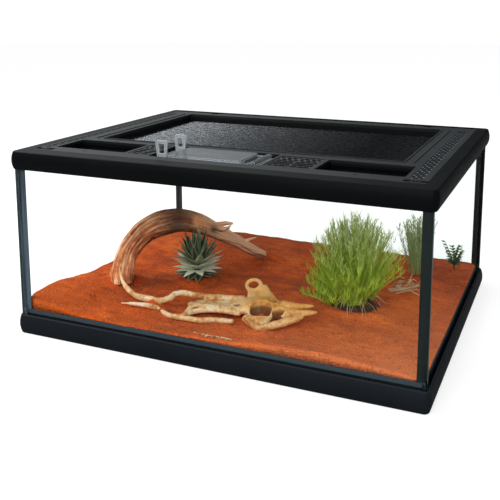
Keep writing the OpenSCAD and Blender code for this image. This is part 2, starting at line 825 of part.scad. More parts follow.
module hatch_door() {
    cx = (plate_x0 + plate_x1) / 2;
    skirt = [plate_x0 + 4, plate_x1 - 4, opening[2] + 0.8, opening[3] - 0.8];
    arms = [row - plate_d / 2, row + plate_d / 2 - arm_w];
    color("#cfdde2", 0.55)
    difference() {
        union() {
            translate([cx, row, plate_z0])
                bevel_plate(plate_w, plate_d, plate_z1 - plate_z0, 5, plate_bevel);
            round_box(shelf_x0, plate_x0 + 4, row - plate_d / 2, row + plate_d / 2, plate_z0, shelf_top, 2);
            box(skirt[0], skirt[1], skirt[2], skirt[3], sill_z - 1, plate_z0 + 1);
            for (y = arms) {
                box(plate_x1 - 1, hatch_x, y, y + arm_w, hinge_z - knuckle_r, hinge_z + 1);
                translate([hatch_x, y, hinge_z])
                    rotate([-90, 0, 0])
                        cylinder(r = knuckle_r, h = arm_w);
            }
            for (t = [0, 1])
                translate([0, t * 2 * row, 0])
                    mirror([0, t, 0])
                        for (x = [shelf_x0, shelf_x0 + shelf_l - lug_t])
                            catch_lug(x);
        }
        // Hollow of the raised plate and of the skirt below it
        round_box(plate_x0 + clear_t, plate_x1 - clear_t, row - plate_d / 2 + clear_t,
            row + plate_d / 2 - clear_t, plate_z0 + 1.6, plate_z1 - clear_t, 3);
        box(skirt[0] + clear_t, skirt[1] - clear_t, skirt[2] + clear_t, skirt[3] - clear_t,
            sill_z - 1 - over, plate_z0 + 3);
        for (t = [0, 1])
            translate([0, t * 2 * row, 0])
                mirror([0, t, 0])
                    catch_notch();
        translate([hatch_x, row - plate_d / 2 - over, hinge_z])
            rotate([-90, 0, 0])
                cylinder(r = pin_r + pin_gap, h = plate_d + 2 * over);
        for (t = [0, 1])
            translate([0, t * 2 * row, 0])
                mirror([0, t, 0])
                    translate([shelf_x0 - over, catch_y, pivot_z])
                        rotate([0, 90, 0])
                            cylinder(r = catch_pin_r + pin_gap / 2, h = shelf_l + 2 * over);
    }
}

// Ear under the hatch's shelf that holds a catch pin
module catch_lug(x) {
    half = catch_pin_r + 1.3;
    box(x, x + lug_t, catch_y - half, catch_y + half, pivot_z, plate_z0 + 1);
    translate([x, catch_y, pivot_z])
        rotate([0, 90, 0])
            cylinder(r = half, h = lug_t);
}

// Notch in the shelf's edge that a catch stands and swings in
module catch_notch() {
    x0 = catch_x - catch_w / 2 - catch_gap;
    x1 = catch_x + catch_w / 2 + catch_gap;
    box(x0, x1, row - plate_d / 2 - over, catch_y + catch_t / 2 + 0.8, plate_z0 - over, shelf_top + over);
}

module catch() {
    half = catch_w / 2;
    flare = 2;
    foot = catch_pin_r + 1.2;
    waist = shelf_top + 2;
    difference() {
        union() {
            translate([catch_x, catch_y + catch_t / 2, 0])
                rotate([90, 0, 0])
                    linear_extrude(catch_t)
                        difference() {
                            polygon([
                                [-half, pivot_z], [half, pivot_z], [half, waist],
                                [half + flare, catch_top - 3], [half + flare - 2.5, catch_top],
                                [-half - flare + 2.5, catch_top], [-half - flare, catch_top - 3], [-half, waist]
                            ]);
                            polygon([
                                [-half + 3, waist + 4], [half - 3, waist + 4],
                                [half + flare - 4, catch_top - 4], [-half - flare + 4, catch_top - 4]
                            ]);
                        }
            translate([catch_x - half, catch_y, pivot_z])
                rotate([0, 90, 0])
                    cylinder(r = foot, h = catch_w);
            translate([catch_x - half, catch_y - catch_t / 2, nose_z])
                rotate([90, 0, 90])
                    linear_extrude(catch_w)
                        polygon([[1, 0], [-nose_reach, 0], [-nose_reach, -0.8], [1, -3.5]]);
        }
        translate([catch_x - half - over, catch_y, pivot_z])
            rotate([0, 90, 0])
                cylinder(r = catch_pin_r + pin_gap, h = catch_w + 2 * over);
    }
}

module front_catch() {
    color("#d7e3e7", 0.6)
        catch();
}

module back_catch() {
    color("#d7e3e7", 0.6)
    translate([0, 2 * row, 0])
        mirror([0, 1, 0])
            catch();
}

module catch_pins() {
    color("#9aa2a6")
    for (y = [catch_y, 2 * row - catch_y])
        translate([shelf_x0 + 0.2, y, pivot_z])
            rotate([0, 90, 0])
                cylinder(r = catch_pin_r, h = shelf_l - 0.4);
}

module hatch_hinge_bar() {
    y0 = row - plate_d / 2 + arm_w + 0.5;
    y1 = row + plate_d / 2 - arm_w - 0.5;
    color("#cfdde2", 0.55)
    difference() {
        union() {
            translate([hatch_x, y0, hinge_z])
                rotate([-90, 0, 0])
                    cylinder(r = knuckle_r + 0.3, h = y1 - y0);
            round_box(hatch_x - 7, hatch_x + 8, y0, y1, recess_z, hinge_z - 0.5, 2);
        }
        translate([hatch_x, y0 - over, hinge_z])
            rotate([-90, 0, 0])
                cylinder(r = pin_r + pin_gap, h = y1 - y0 + 2 * over);
    }
}

module hatch_hinge_pin() {
    color("#9aa2a6")
    translate([hatch_x, row - plate_d / 2 - 0.8, hinge_z])
        rotate([-90, 0, 0])
            cylinder(r = pin_r, h = plate_d + 1.6);
}

// Slide bolt in a corner of the lid, shown drawn back
module lid_lock(side) {
    x1 = lock_x;
    x0 = x1 - lock_l;
    color("#15181a")
    mirror([side < 0 ? 1 : 0, 0, 0]) {
        box(x0, x1 - lock_travel, lock_cy - lock_d / 2 - 1.2, lock_cy + lock_d / 2 + 1.2, lock_z, lock_z + 2);
        box(x0, x1 - lock_travel, lock_cy - lock_d / 2, lock_cy + lock_d / 2, lock_z + 1, lock_z + lock_h);
        box(x1 - lock_travel - 1, x1, lock_cy - lock_d / 2 + 0.9, lock_cy + lock_d / 2 - 0.9,
            lock_z + 1, lock_z + lock_h - 1.2);
        for (i = [0 : 2])
            box(x0 + 2.5 + i * 4, x0 + 4.3 + i * 4, lock_cy - lock_d / 2 + 1, lock_cy + lock_d / 2 - 1,
                lock_z + lock_h - 1, lock_z + lock_h + 1.6);
    }
}

module left_lid_lock() {
    lid_lock(-1);
}

module right_lid_lock() {
    lid_lock(1);
}

module left_pane() {
    side_pane(-pane_out_w / 2);
}

module right_pane() {
    side_pane(pane_out_w / 2 - pane_t);
}

module front_pane() {
    long_pane(-pane_out_d / 2);
}

module back_pane() {
    long_pane(pane_out_d / 2 - pane_t);
}

// Places of the furnishings on the sand: x, y, radius of the level pad and its height
wood_foot = [-214, -90, 22, sand_z + 4];
wood_tail = [-47, 92, 12, sand_z + 6];
skull_at = [-40, -140];
skull_pad = [for (p = [[-112, 0, 56], [-30, -10, 50], [60, 8, 66], [130, 10, 44]])
    [skull_at[0] + p[0], skull_at[1] + p[1], p[2], sand_z]];
succulent_pad = [-113, -28, 22, sand_z + 8];
grass_pad = [152, -38, 34, sand_z + 1];
rear_pad = [inner_w / 2 - 81, inner_d / 2 - 108, 16, sand_z + 3];
leafy_pad = [inner_w / 2 - 30, inner_d / 2 - 48, 12, sand_z + 1];
twig_pad = [212, 48, 34, sand_z + 1];
pads = concat([wood_foot, wood_tail, succulent_pad, grass_pad, rear_pad, leafy_pad, twig_pad], skull_pad);

// Smooth step and bump functions for the sand's surface
function ease(t) = let (c = min(max(t, 0), 1)) c * c * (3 - 2 * c);
function bump(x, y, cx, cy, rx, ry) = exp(-pow((x - cx) / rx, 2) - pow((y - cy) / ry, 2));

function dunes(x, y) = sand_z
    + mound_h * bump(x, y, -inner_w / 2, -inner_d / 2 + 40, 75, 95)
    + bank_h * bump(x, y, 150, -inner_d / 2, 120, 26)
    + dune_h * bump(x, y, -130, 130, 130, 80)
    + ripple_h * sin(3.1 * x + 1.7 * y) * sin(1.3 * x - 4.1 * y);

function padded(x, y, h, k) = k >= len(pads) ? h : let (
    p = pads[k],
    t = ease((norm([x - p[0], y - p[1]]) - p[2]) / 22)
) padded(x, y, p[3] + (h - p[3]) * t, k + 1);

function sand_at(x, y) = padded(x, y, dunes(x, y), 0);

// The sand's surface is a grid of heights, closed by rings down to the bottom pane
sand_nx = 38;
sand_ny = 30;
sand_half = [inner_w / 2 - pane_gap, inner_d / 2 - pane_gap];

function sand_corner(i, j) = (i == 0 || i == sand_nx) && (j == 0 || j == sand_ny);
function sand_grid(i, j) = let (
    x = sand_half[0] * (2 * i / sand_nx - 1),
    y = sand_half[1] * (2 * j / sand_ny - 1),
    pull = sand_corner(i, j) ? seal_leg * 0.62 : 0
) [x - sign(x) * pull, y - sign(y) * pull];

function sand_rim(k) = k < sand_nx ? [k, 0]
    : k < sand_nx + sand_ny ? [sand_nx, k - sand_nx]
    : k < 2 * sand_nx + sand_ny ? [2 * sand_nx + sand_ny - k, sand_ny]
    : [0, 2 * (sand_nx + sand_ny) - k];

function sand_ring(half, z) = [
    for (k = [0 : 2 * (sand_nx + sand_ny) - 1])
        let (r = sand_rim(k), p = sand_grid(r[0], r[1]))
            [p[0] * half[0] / sand_half[0], p[1] * half[1] / sand_half[1], z]
];

module sand_bed() {
    n = 2 * (sand_nx + sand_ny);
    top = (sand_nx + 1) * (sand_ny + 1);
    lip = [tank_w / 2 - lip_in - pane_gap, tank_d / 2 - lip_in - pane_gap];
    bead = [lip[0] - bead_leg, lip[1] - bead_leg];
    floor_z = shelf_z + floor_t;
    points = concat(
        [for (j = [0 : sand_ny], i = [0 : sand_nx])
            let (p = sand_grid(i, j)) [p[0], p[1], sand_at(p[0], p[1])]],
        sand_ring(sand_half, lip_h + pane_gap),
        sand_ring(lip, lip_h + pane_gap),
        sand_ring(lip, floor_z + bead_leg + pane_gap),
        sand_ring(bead, floor_z),
        [[0, 0, floor_z]]
    );
    at = function (i, j) j * (sand_nx + 1) + i;
    rim = function (k) let (r = sand_rim(k % n)) at(r[0], r[1]);
    ring = function (m, k) top + m * n + k % n;
    faces = concat(
        [for (j = [0 : sand_ny - 1], i = [0 : sand_nx - 1]) [at(i, j), at(i, j + 1), at(i + 1, j + 1)]],
        [for (j = [0 : sand_ny - 1], i = [0 : sand_nx - 1]) [at(i, j), at(i + 1, j + 1), at(i + 1, j)]],
        [for (k = [0 : n - 1]) [rim(k), rim(k + 1), ring(0, k + 1)]],
        [for (k = [0 : n - 1]) [rim(k), ring(0, k + 1), ring(0, k)]],
        [for (m = [0 : 2], k = [0 : n - 1]) [ring(m, k), ring(m, k + 1), ring(m + 1, k + 1)]],
        [for (m = [0 : 2], k = [0 : n - 1]) [ring(m, k), ring(m + 1, k + 1), ring(m + 1, k)]],
        [for (k = [0 : n - 1]) [ring(3, k), ring(3, k + 1), top + 4 * n]]
    );
    color("#c8571f")
        polyhedron(points = points, faces = faces, convexity = 6);
}

// Catmull-Rom spline through control points of any length
function spline_at(p, i, t) = let (
    n = len(p) - 1,
    a = p[max(i - 1, 0)], b = p[i], c = p[min(i + 1, n)], d = p[min(i + 2, n)]
) 0.5 * (2 * b + (c - a) * t + (2 * a - 5 * b + 4 * c - d) * t * t + (3 * b - a - 3 * c + d) * t * t * t);
function spline(p, steps) = [
    for (i = [0 : len(p) - 2], k = [0 : steps - 1]) spline_at(p, i, k / steps),
    p[len(p) - 1]
];

function unit(v) = v / norm(v);

// Tube along points of x, y, z and radius. Its section is an oval that is
// flat times as thick as it is wide, with lumps along its sides.
module tube(path, sides, ref, flat = 1, lump = 0) {
    n = len(path);
    centre = [for (p = path) [p[0], p[1], p[2]]];
    along = [for (i = [0 : n - 1]) unit(centre[min(i + 1, n - 1)] - centre[max(i - 1, 0)])];
    across = [for (t = along) unit(cross(t, ref))];
    points = [
        for (i = [0 : n - 1], k = [0 : sides - 1])
            let (
                a = 360 * k / sides,
                r = path[i][3] * (1 + lump * sin(3 * a + 23 * i) * cos(31 * i + a))
            )
                centre[i] + r * cos(a) * across[i] + flat * r * sin(a) * cross(along[i], across[i])
    ];
    at = function (i, k) i * sides + k % sides;
    faces = concat(
        [for (i = [0 : n - 2], k = [0 : sides - 1]) [at(i, k), at(i + 1, k + 1), at(i, k + 1)]],
        [for (i = [0 : n - 2], k = [0 : sides - 1]) [at(i, k), at(i + 1, k), at(i + 1, k + 1)]],
        [for (k = [1 : sides - 2]) [at(0, 0), at(0, k), at(0, k + 1)]],
        [for (k = [1 : sides - 2]) [at(n - 1, 0), at(n - 1, k + 1), at(n - 1, k)]]
    );
    polyhedron(points = points, faces = faces, convexity = 4);
}

module driftwood() {
    foot = wood_foot[3] + rest_gap;
    tail = wood_tail[3] + rest_gap;
    r = wood_r;
    limb = spline([
        [-214, -90, foot, r], [-214, -90, foot + 4, r], [-214, -90, foot + 9, r],
        [-215, -88, foot + 24, r * 0.92], [-209, -76, foot + 54, r * 0.96],
        [-190, -56, foot + 78, r], [-162, -32, foot + 88, r], [-134, -8, foot + 84, r * 0.9],
        [-108, 16, foot + 68, r * 0.76], [-84, 44, foot + 46, r * 0.6], [-62, 72, foot + 22, r * 0.48],
        [wood_tail[0], wood_tail[1], tail + r * 0.46, r * 0.36]
    ], 3);
    stub = [
        [-112, 8, foot + 68, r * 0.42], [-92, 14, foot + 70, r * 0.3],
        [-80, 20, foot + 66, r * 0.22], [-74, 22, foot + 69, r * 0.1]
    ];
    color("#a9674a") {
        tube(limb, 14, [0.7, -0.7, 0], 1, 0.14);
        tube(stub, 8, [0, 0, 1]);
    }
}

// Bone along points of x, y, height and radius, wide and flat or round
module bone(path, sides = 8, flat = 1) {
    tube(spline(path, 2), sides, [0.01, 0.02, 1], flat);
}

module skull_hole(x, y, rx, ry, turn) {
    translate([x, y, -over])
        rotate([0, 0, turn])
            scale([rx, ry, 1])
                cylinder(r = 1, h = 50, $fn = 20);
}

// Bleached skull of a grazing animal, lying along the tank with its muzzle to the left
module skull_ornament() {
    k = skull_l / 322;
    color("#e6cf9c")
    translate([skull_at[0], skull_at[1], sand_z + rest_gap])
        scale([k, k, k])
            difference() {
                union() {
                    // Brain case, brow and cheek
                    bone([[30, 6, 12, 9], [56, 12, 13, 22], [80, 16, 13, 30], [100, 14, 12.6, 25],
                        [116, 10, 12, 15], [130, 8, 12, 9]], 14, 0.42);
                    bone([[82, 18, 14, 20], [70, 38, 19, 20], [68, 51, 24, 14], [67, 59, 27, 7]], 12, 0.4);
                    bone([for (a = [25 : 31 : 335])
                        [52 + 10.5 * cos(a), 50 + 6.3 * sin(a), 30 + 5.1 * sin(a), 3.2]], 6);
                    bone([[86, -6, 10, 18], [92, -22, 8, 13], [94, -34, 5, 7], [94, -40, 4, 3.6]], 10, 0.5);
                    bone([[68, -18, 8, 6], [94, -35, 5.2, 5], [112, -24, 7, 5.5], [126, -11, 9.5, 6],
                        [136, 0, 12, 6], [143, 8, 13, 4]]);
                    // Nasal plate, its upper bar and its lower arch
                    bone([[-26, -7, 10, 5], [0, -8, 11.5, 9], [30, -7, 12.6, 10.5], [60, 4, 13, 14]], 10, 0.5);
                    bone([[-74, -10, 6, 5.2], [-61, -1, 10.5, 5], [-57, 9, 14, 5.5], [-46, 14, 16, 5.5],
                        [-25, 13, 16, 5.5], [14, 16, 16, 7], [50, 20, 15, 10]]);
                    bone([[-16, -36, 5, 3.6], [-6, -23, 8, 4], [10, -16, 10, 4.2], [32, -14, 11, 4], [58, -11, 11, 5]]);
                    // Loop of the muzzle with its long lower prong, and the bar beside it
                    bone([[-127, -30, 3.6, 1.2], [-100, -26, 4.4, 3.2], [-80, -25, 4.6, 4], [-66, -28, 4.6, 4.2],
                        [-43, -41, 4, 3.6], [-28, -45, 4.4, 4], [-17, -40, 5.2, 4.2], [-16, -28, 6.8, 4.4],
                        [-18, -14, 9, 5], [-20, -6, 10, 5]]);
                    bone([[-28, -45, 4.4, 3.8], [0, -44, 4.5, 4.2], [16, -41, 4.6, 4.2], [28, -35, 5, 4],
                        [56, -30, 5.4, 3.6]]);
                    // Long upper prong
                    bone([[-74, -10, 6, 5.2], [-88, -6, 6, 5.2], [-112, -3, 5.6, 4.8], [-129, 2, 9, 4.2],
                        [-149, 12, 18, 3.2], [-162, 22, 39, 1]]);
                    // Prongs at the right
                    bone([[108, 20, 17, 9], [126, 23, 18.5, 5.5], [142, 27, 20, 3.6], [153, 30, 21, 1.4]]);
                    bone([[108, 5, 13, 10], [130, 9, 14, 6.5], [148, 14, 16, 4.4], [161, 18, 18, 1.6]]);
                }
                skull_hole(86, -3, 15, 17, 0);
                skull_hole(111, 0, 9, 5, 35);
                skull_hole(95, 20, 5, 3, -30);
                skull_hole(49, -2, 3.5, 3, 0);
            }
}

// Pointed leaf along a path that starts out at one angle and ends at another
module leaf(length, width, thick, rise0, rise1, steps, sides) {
    step = length / steps;
    angle = function (i) rise0 + (rise1 - rise0) * i / steps;
    reach = function (i) i == 0 ? [0, 0] : reach(i - 1) + step * [cos(angle(i - 0.5)), sin(angle(i - 0.5))];
    swell = function (t) 0.06 + 0.94 * pow(sin(180 * pow(1 - 0.985 * t, 0.62)), 0.8);
    path = [
        for (i = [0 : steps])
            let (p = reach(i)) [p[0], 0, p[1], max(width / 2 * swell(i / steps), 0.35)]
    ];
    tube(path, sides, [0.001, 0, 1], thick / width);
}

module whorl(count, turn, start_r, start_z, length, width, rise0, rise1) {
    for (i = [0 : count - 1])
        rotate([0, 0, turn + 360 * i / count])
            translate([start_r, 0, start_z])
                leaf(length * (1 - 0.08 * (i % 3)), width, 2.4, rise0, rise1, 5, 6);
}

module succulent() {
    color("#6f8f74")
    translate([succulent_pad[0], succulent_pad[1], succulent_pad[3] + rest_gap]) {
        cylinder(r1 = 10, r2 = 6, h = 22, $fn = 24);
        whorl(12, 0, 4, 7, leaf_l * 0.7, 12, 20, 4);
        whorl(11, 15, 3, 12, leaf_l * 0.8, 12, 36, 24);
        whorl(9, 8, 2, 16, leaf_l * 0.9, 11, 54, 46);
        whorl(6, 30, 1, 19, leaf_l * 1.05, 9, 84, 80);
    }
}

// Even scatter of a value in a given span, the same for each blade on each build
function scatter(i, k, low, high) = low + (high - low) * (0.5 + 0.5 * sin(i * (97.3 + 31.7 * k) + 53 * k));

module grass(blades, height, root_r, spread, lean) {
    cylinder(r1 = root_r * 0.8, r2 = root_r, h = 9, $fn = 24);
    for (i = [0 : blades - 1]) {
        share = (i + 0.5) / blades;
        a = i * 137.508;
        r = root_r * 0.86 * sqrt(share);
        tall = height * scatter(i, 1, 0.72, 0.97) * (1 - 0.3 * share);
        out = spread * share * scatter(i, 2, 0.7, 1);
        rotate([0, 0, a])
            tube([
                [r, 0, 7, 1.7], [r + out * 0.25, 0, 7 + tall * 0.4, 1.5],
                [r + out * 0.6, lean * 2, 7 + tall * 0.75, 1.1], [r + out, lean * 5, tall, 0.3]
            ], 3, [0, 1, 0]);
    }
}

module grass_tuft() {
    color("#6b8f3c")
    translate([grass_pad[0], grass_pad[1], grass_pad[3] + rest_gap])
        grass(grass_n, grass_h, 26, 46, 1);
}

module rear_tuft() {
    color("#86a86a")
    translate([rear_pad[0], rear_pad[1], rear_pad[3] + rest_gap])
        grass(rear_n, rear_h, 12, 20, 1);
}

module leafy_plant() {
    color("#4f7a34")
    translate([leafy_pad[0], leafy_pad[1], leafy_pad[3] + rest_gap]) {
        cylinder(r1 = 8, r2 = 4, h = 12, $fn = 24);
        whorl(7, 10, 1, 9, 26, 10, 50, 20);
        whorl(5, 40, 1, 10, 34, 10, 70, 50);
    }
}

module dry_twigs() {
    z = twig_pad[3] + rest_gap;
    color("#b08a5e")
    translate([twig_pad[0], twig_pad[1], z]) {
        tube([[-30, -6, 1.6, 1.6], [-12, 0, 1.6, 1.6], [6, 3, 6, 1.4], [26, 8, 16, 0.6]], 6, [0, 0, 1]);
        tube([[-12, 0, 1.6, 1.6], [-4, 10, 8, 1.3], [0, 22, 22, 0.5]], 6, [0.2, 0, 1]);
        tube([[-22, 10, 1.6, 1.5], [-2, 2, 2.4, 1.5], [20, -14, 1.2, 0.8]], 6, [0, 0, 1]);
    }
}

base_frame();
top_frame();
front_pane();
back_pane();
left_pane();
right_pane();
bottom_pane();
corner_seals();
floor_seal();
lid_hinge_pins();
lid_frame();
screen_long_wires();
screen_cross_wires();
screen_clamp();
clamp_screws();
left_vent_strip();
right_vent_strip();
left_grille();
right_grille();
left_port_cover();
right_port_cover();
hatch_hinge_bar();
hatch_hinge_pin();
hatch_door();
catch_pins();
front_catch();
back_catch();
left_lid_lock();
right_lid_lock();
sand_bed();
driftwood();
skull_ornament();
succulent();
grass_tuft();
rear_tuft();
leafy_plant();
dry_twigs();
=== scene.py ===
# %% [markdown]
# # A reptile terrarium in Blender
#
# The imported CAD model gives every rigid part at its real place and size. This script adds what a
# CAD solid can't show: the look of the plastic, the glass and the silicone, and finely made
# versions of the screen, the sand, the driftwood, the skull and the plants. All lengths are in
# metres, +X is to the right, the front faces -Y and +Z is up.

# %% Load the frame
import math
import bpy
import numpy as np
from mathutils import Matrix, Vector, noise


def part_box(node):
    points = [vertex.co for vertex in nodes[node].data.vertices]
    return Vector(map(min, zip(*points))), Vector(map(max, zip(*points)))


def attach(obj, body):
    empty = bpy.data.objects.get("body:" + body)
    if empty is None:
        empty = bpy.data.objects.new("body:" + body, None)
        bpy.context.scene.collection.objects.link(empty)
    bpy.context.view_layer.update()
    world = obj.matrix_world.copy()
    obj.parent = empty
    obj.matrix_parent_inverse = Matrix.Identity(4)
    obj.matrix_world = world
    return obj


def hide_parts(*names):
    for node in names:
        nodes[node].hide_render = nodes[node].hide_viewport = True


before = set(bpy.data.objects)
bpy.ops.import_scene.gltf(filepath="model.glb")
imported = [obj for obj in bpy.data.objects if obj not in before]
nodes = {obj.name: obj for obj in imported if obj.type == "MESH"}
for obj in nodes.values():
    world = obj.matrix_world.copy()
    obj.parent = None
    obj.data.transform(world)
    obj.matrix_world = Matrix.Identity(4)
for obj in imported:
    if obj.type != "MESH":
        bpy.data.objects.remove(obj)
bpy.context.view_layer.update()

# %% [markdown]
# ## Camera
#
# The photograph was taken from the front right, a little above the rim. A pinhole camera fitted
# to the outline of both frames gives the place, the heading and the focal length. The upright
# edges of the tank hardly converge, so the lens looks almost level and is shifted down by nearly
# a quarter of a frame.

# %% Camera
DOWN, HEADING = 9.62, 23.22  # degrees below level, and to the left of straight back
camera = bpy.data.cameras.new("camera")
camera.sensor_width, camera.lens = 36, 55.45
camera.shift_x, camera.shift_y = -0.0110, -0.2282
camera.clip_start = 0.02
viewer = bpy.data.objects.new("camera", camera)
viewer.location = (0.4396, -1.0802, 0.4722)
viewer.rotation_euler = (math.radians(90 - DOWN), 0, math.radians(HEADING))
bpy.context.collection.objects.link(viewer)
bpy.context.scene.camera = viewer
bpy.context.scene.view_settings.view_transform = "Standard"
print("camera lens", camera.lens)

# %% [markdown]
# ## Shader arithmetic
#
# A material is a small program. Written node by node it is hard to read, so one class wraps an
# output socket and lets Python's own operators add the Math nodes. Colours and vectors have their
# own nodes, because a Math node would turn a colour grey.

# %% Socket class
class Wire:
    """The output of a shader node, which can be used in arithmetic."""

    def __init__(self, tree, socket):
        self.tree, self.socket = tree, socket

    def math(self, operation, *values):
        node = self.tree.nodes.new("ShaderNodeMath")
        node.operation = operation
        for slot, value in zip(node.inputs, values):
            plug(self.tree, slot, value)
        return Wire(self.tree, node.outputs[0])

    def __add__(self, other):
        return self.math("ADD", self, other)

    def __sub__(self, other):
        return self.math("SUBTRACT", self, other)

    def __rsub__(self, other):
        return self.math("SUBTRACT", other, self)

    def __mul__(self, other):
        return self.math("MULTIPLY", self, other)

    def __truediv__(self, other):
        return self.math("DIVIDE", self, other)

    def __pow__(self, other):
        return self.math("POWER", self, other)

    __radd__, __rmul__ = __add__, __mul__

    def clamp(self):
        return self.math("MINIMUM", self.math("MAXIMUM", self, 0), 1)

    def absolute(self):
        return self.math("ABSOLUTE", self)


def plug(tree, slot, value):
    """Links a wire to a socket, or sets the socket to a constant."""
    if isinstance(value, Wire):
        tree.links.new(value.socket, slot)
    elif slot.type == "RGBA":
        slot.default_value = rgb(value)
    else:
        slot.default_value = value


def rgb(value):
    """A colour as it is seen on a screen, 0 to 255, turned into Blender's linear numbers."""
    def linear(c):
        c = c / 255
        return c / 12.92 if c <= 0.04045 else ((c + 0.055) / 1.055) ** 2.4
    return tuple(linear(c) for c in value[:3]) + (1,)


print("sand orange in linear numbers:", [round(c, 3) for c in rgb((196, 84, 38))])

# %% [markdown]
# ## Material class
#
# Every finish here is the Principled shader with something that varies over its surface. One
# class adds any node to a tree. The other makes the shader and its output, gives the object's own
# coordinates in metres, and has a method for each texture that is used more than once.

# %% Node tree class
class Tree:
    """A node tree that starts empty, with the coordinates that its textures use."""

    def __init__(self, tree, coordinates):
        self.tree = tree
        tree.nodes.clear()
        self.place = self.node("TexCoord", out=coordinates)

    def node(self, kind, settings=None, inputs=None, out=0):
        """Any node: its settings first, then the values or links of its sockets."""
        made = self.tree.nodes.new("ShaderNode" + kind)
        for key, value in (settings or {}).items():
            if key == "stops":
                ramp = made.color_ramp
                while len(ramp.elements) < len(value):
                    ramp.elements.new(0.5)
                for element, (position, colour) in zip(ramp.elements, value):
                    element.position = position
                    element.color = rgb(colour)
            else:
                setattr(made, key, value)
        for key, value in (inputs or {}).items():
            plug(self.tree, made.inputs[key], value)
        return Wire(self.tree, made.outputs[out])

    def axis(self, number, vector=None):
        """One of the three numbers of a vector, by default of the place."""
        return self.node("SeparateXYZ", {}, {0: vector or self.place}, number)


print("ready to add nodes")

# %% Material class
class Finish(Tree):
    """A material built on the Principled shader."""

    def __init__(self, name, **constants):
        self.material = bpy.data.materials.new(name)
        self.material.use_nodes = True
        super().__init__(self.material.node_tree, "Object")
        self.output = self.tree.nodes.new("ShaderNodeOutputMaterial")
        self.shader = self.tree.nodes.new("ShaderNodeBsdfPrincipled")
        self.solid = Wire(self.tree, self.shader.outputs[0])
        self.show(self.solid)
        for key, value in constants.items():
            self.set(key.replace("_", " "), value)

    def show(self, shader):
        """Makes a shader the one that the material shows."""
        plug(self.tree, self.output.inputs["Surface"], shader)
        return self

    def set(self, key, value):
        plug(self.tree, self.shader.inputs[key], value)
        return self

    def stretch(self, *factors):
        """The place multiplied along each axis."""
        return self.node("VectorMath", {"operation": "MULTIPLY"}, {0: self.place, 1: factors})

    def noise(self, scale, detail=3, vector=None):
        return self.node("TexNoise", {}, {"Vector": vector or self.place, "Scale": scale,
                                          "Detail": detail, "Roughness": 0.55})

    def cells(self, scale):
        return self.node("TexVoronoi", {}, {"Vector": self.place, "Scale": scale}, "Distance")

    def ramp(self, value, *stops):
        return self.node("ValToRGB", {"stops": stops}, {0: value})

    def mix(self, factor, one, two):
        return self.node("Mix", {"data_type": "RGBA"}, {0: factor, 6: one, 7: two}, out=2)

    def blend(self, factor, one, two):
        """A mix of two shaders."""
        return self.node("MixShader", {}, {0: factor, 1: one, 2: two})

    def stored(self, key):
        """A number that is stored at each point of the mesh."""
        return self.node("Attribute", {"attribute_name": key}, {}, "Fac")

    def normal(self):
        return self.node("TexCoord", out="Normal")

    def relief(self, *layers):
        """Bump from several heights, each given with its depth in metres."""
        normal = None
        for height, depth in layers:
            inputs = {"Height": height, "Distance": depth, "Strength": 1.0}
            if normal:
                inputs["Normal"] = normal
            normal = self.node("Bump", {}, inputs)
        return self.set("Normal", normal)

    def edges(self, radius, strength):
        """0 on flat faces, rising to 1 within the radius, in metres, of a sharp edge."""
        rounded = self.node("Bevel", {"samples": 6}, {"Radius": radius})
        true = self.node("NewGeometry", out="Normal")
        likeness = self.node("VectorMath", {"operation": "DOT_PRODUCT"}, {0: rounded, 1: true}, 1)
        return ((1 - likeness) * strength).clamp()

    def facing_up(self):
        """1 on level faces, 0 on upright ones."""
        return self.axis(2, self.normal()).clamp()

    def convexity(self):
        """Pointiness: above one half where the surface is convex, below it in hollows."""
        return self.node("NewGeometry", out="Pointiness")


print("ready to make finishes")

# %% [markdown]
# ## Moulded plastic
#
# The frames are black plastic with a satin skin. Real moulded plastic isn't one flat black: it
# has a fine grain from the mould and slightly uneven gloss. Its level faces are painted paler,
# partly as grey dust and partly as a painted sheen. Its edges are paler, partly rubbed by hands
# and partly a painted highlight. Noise at three scales gives these, all tied to metres so that it
# stays the same from any distance. The vents also have painted rows of small bright dots, a
# painted highlight for the light that catches the ends of the slots. Some finishes turn to a
# painted colour between two heights, as painted light or shade.

# %% Plastic finishes
PALE_EDGE_REACH = 0.0012  # how far the paler edges, rubbed and painted highlight, reach from an edge
GLINT_WAVES = (740, 370, 1)  # waves that give the rows of painted glints


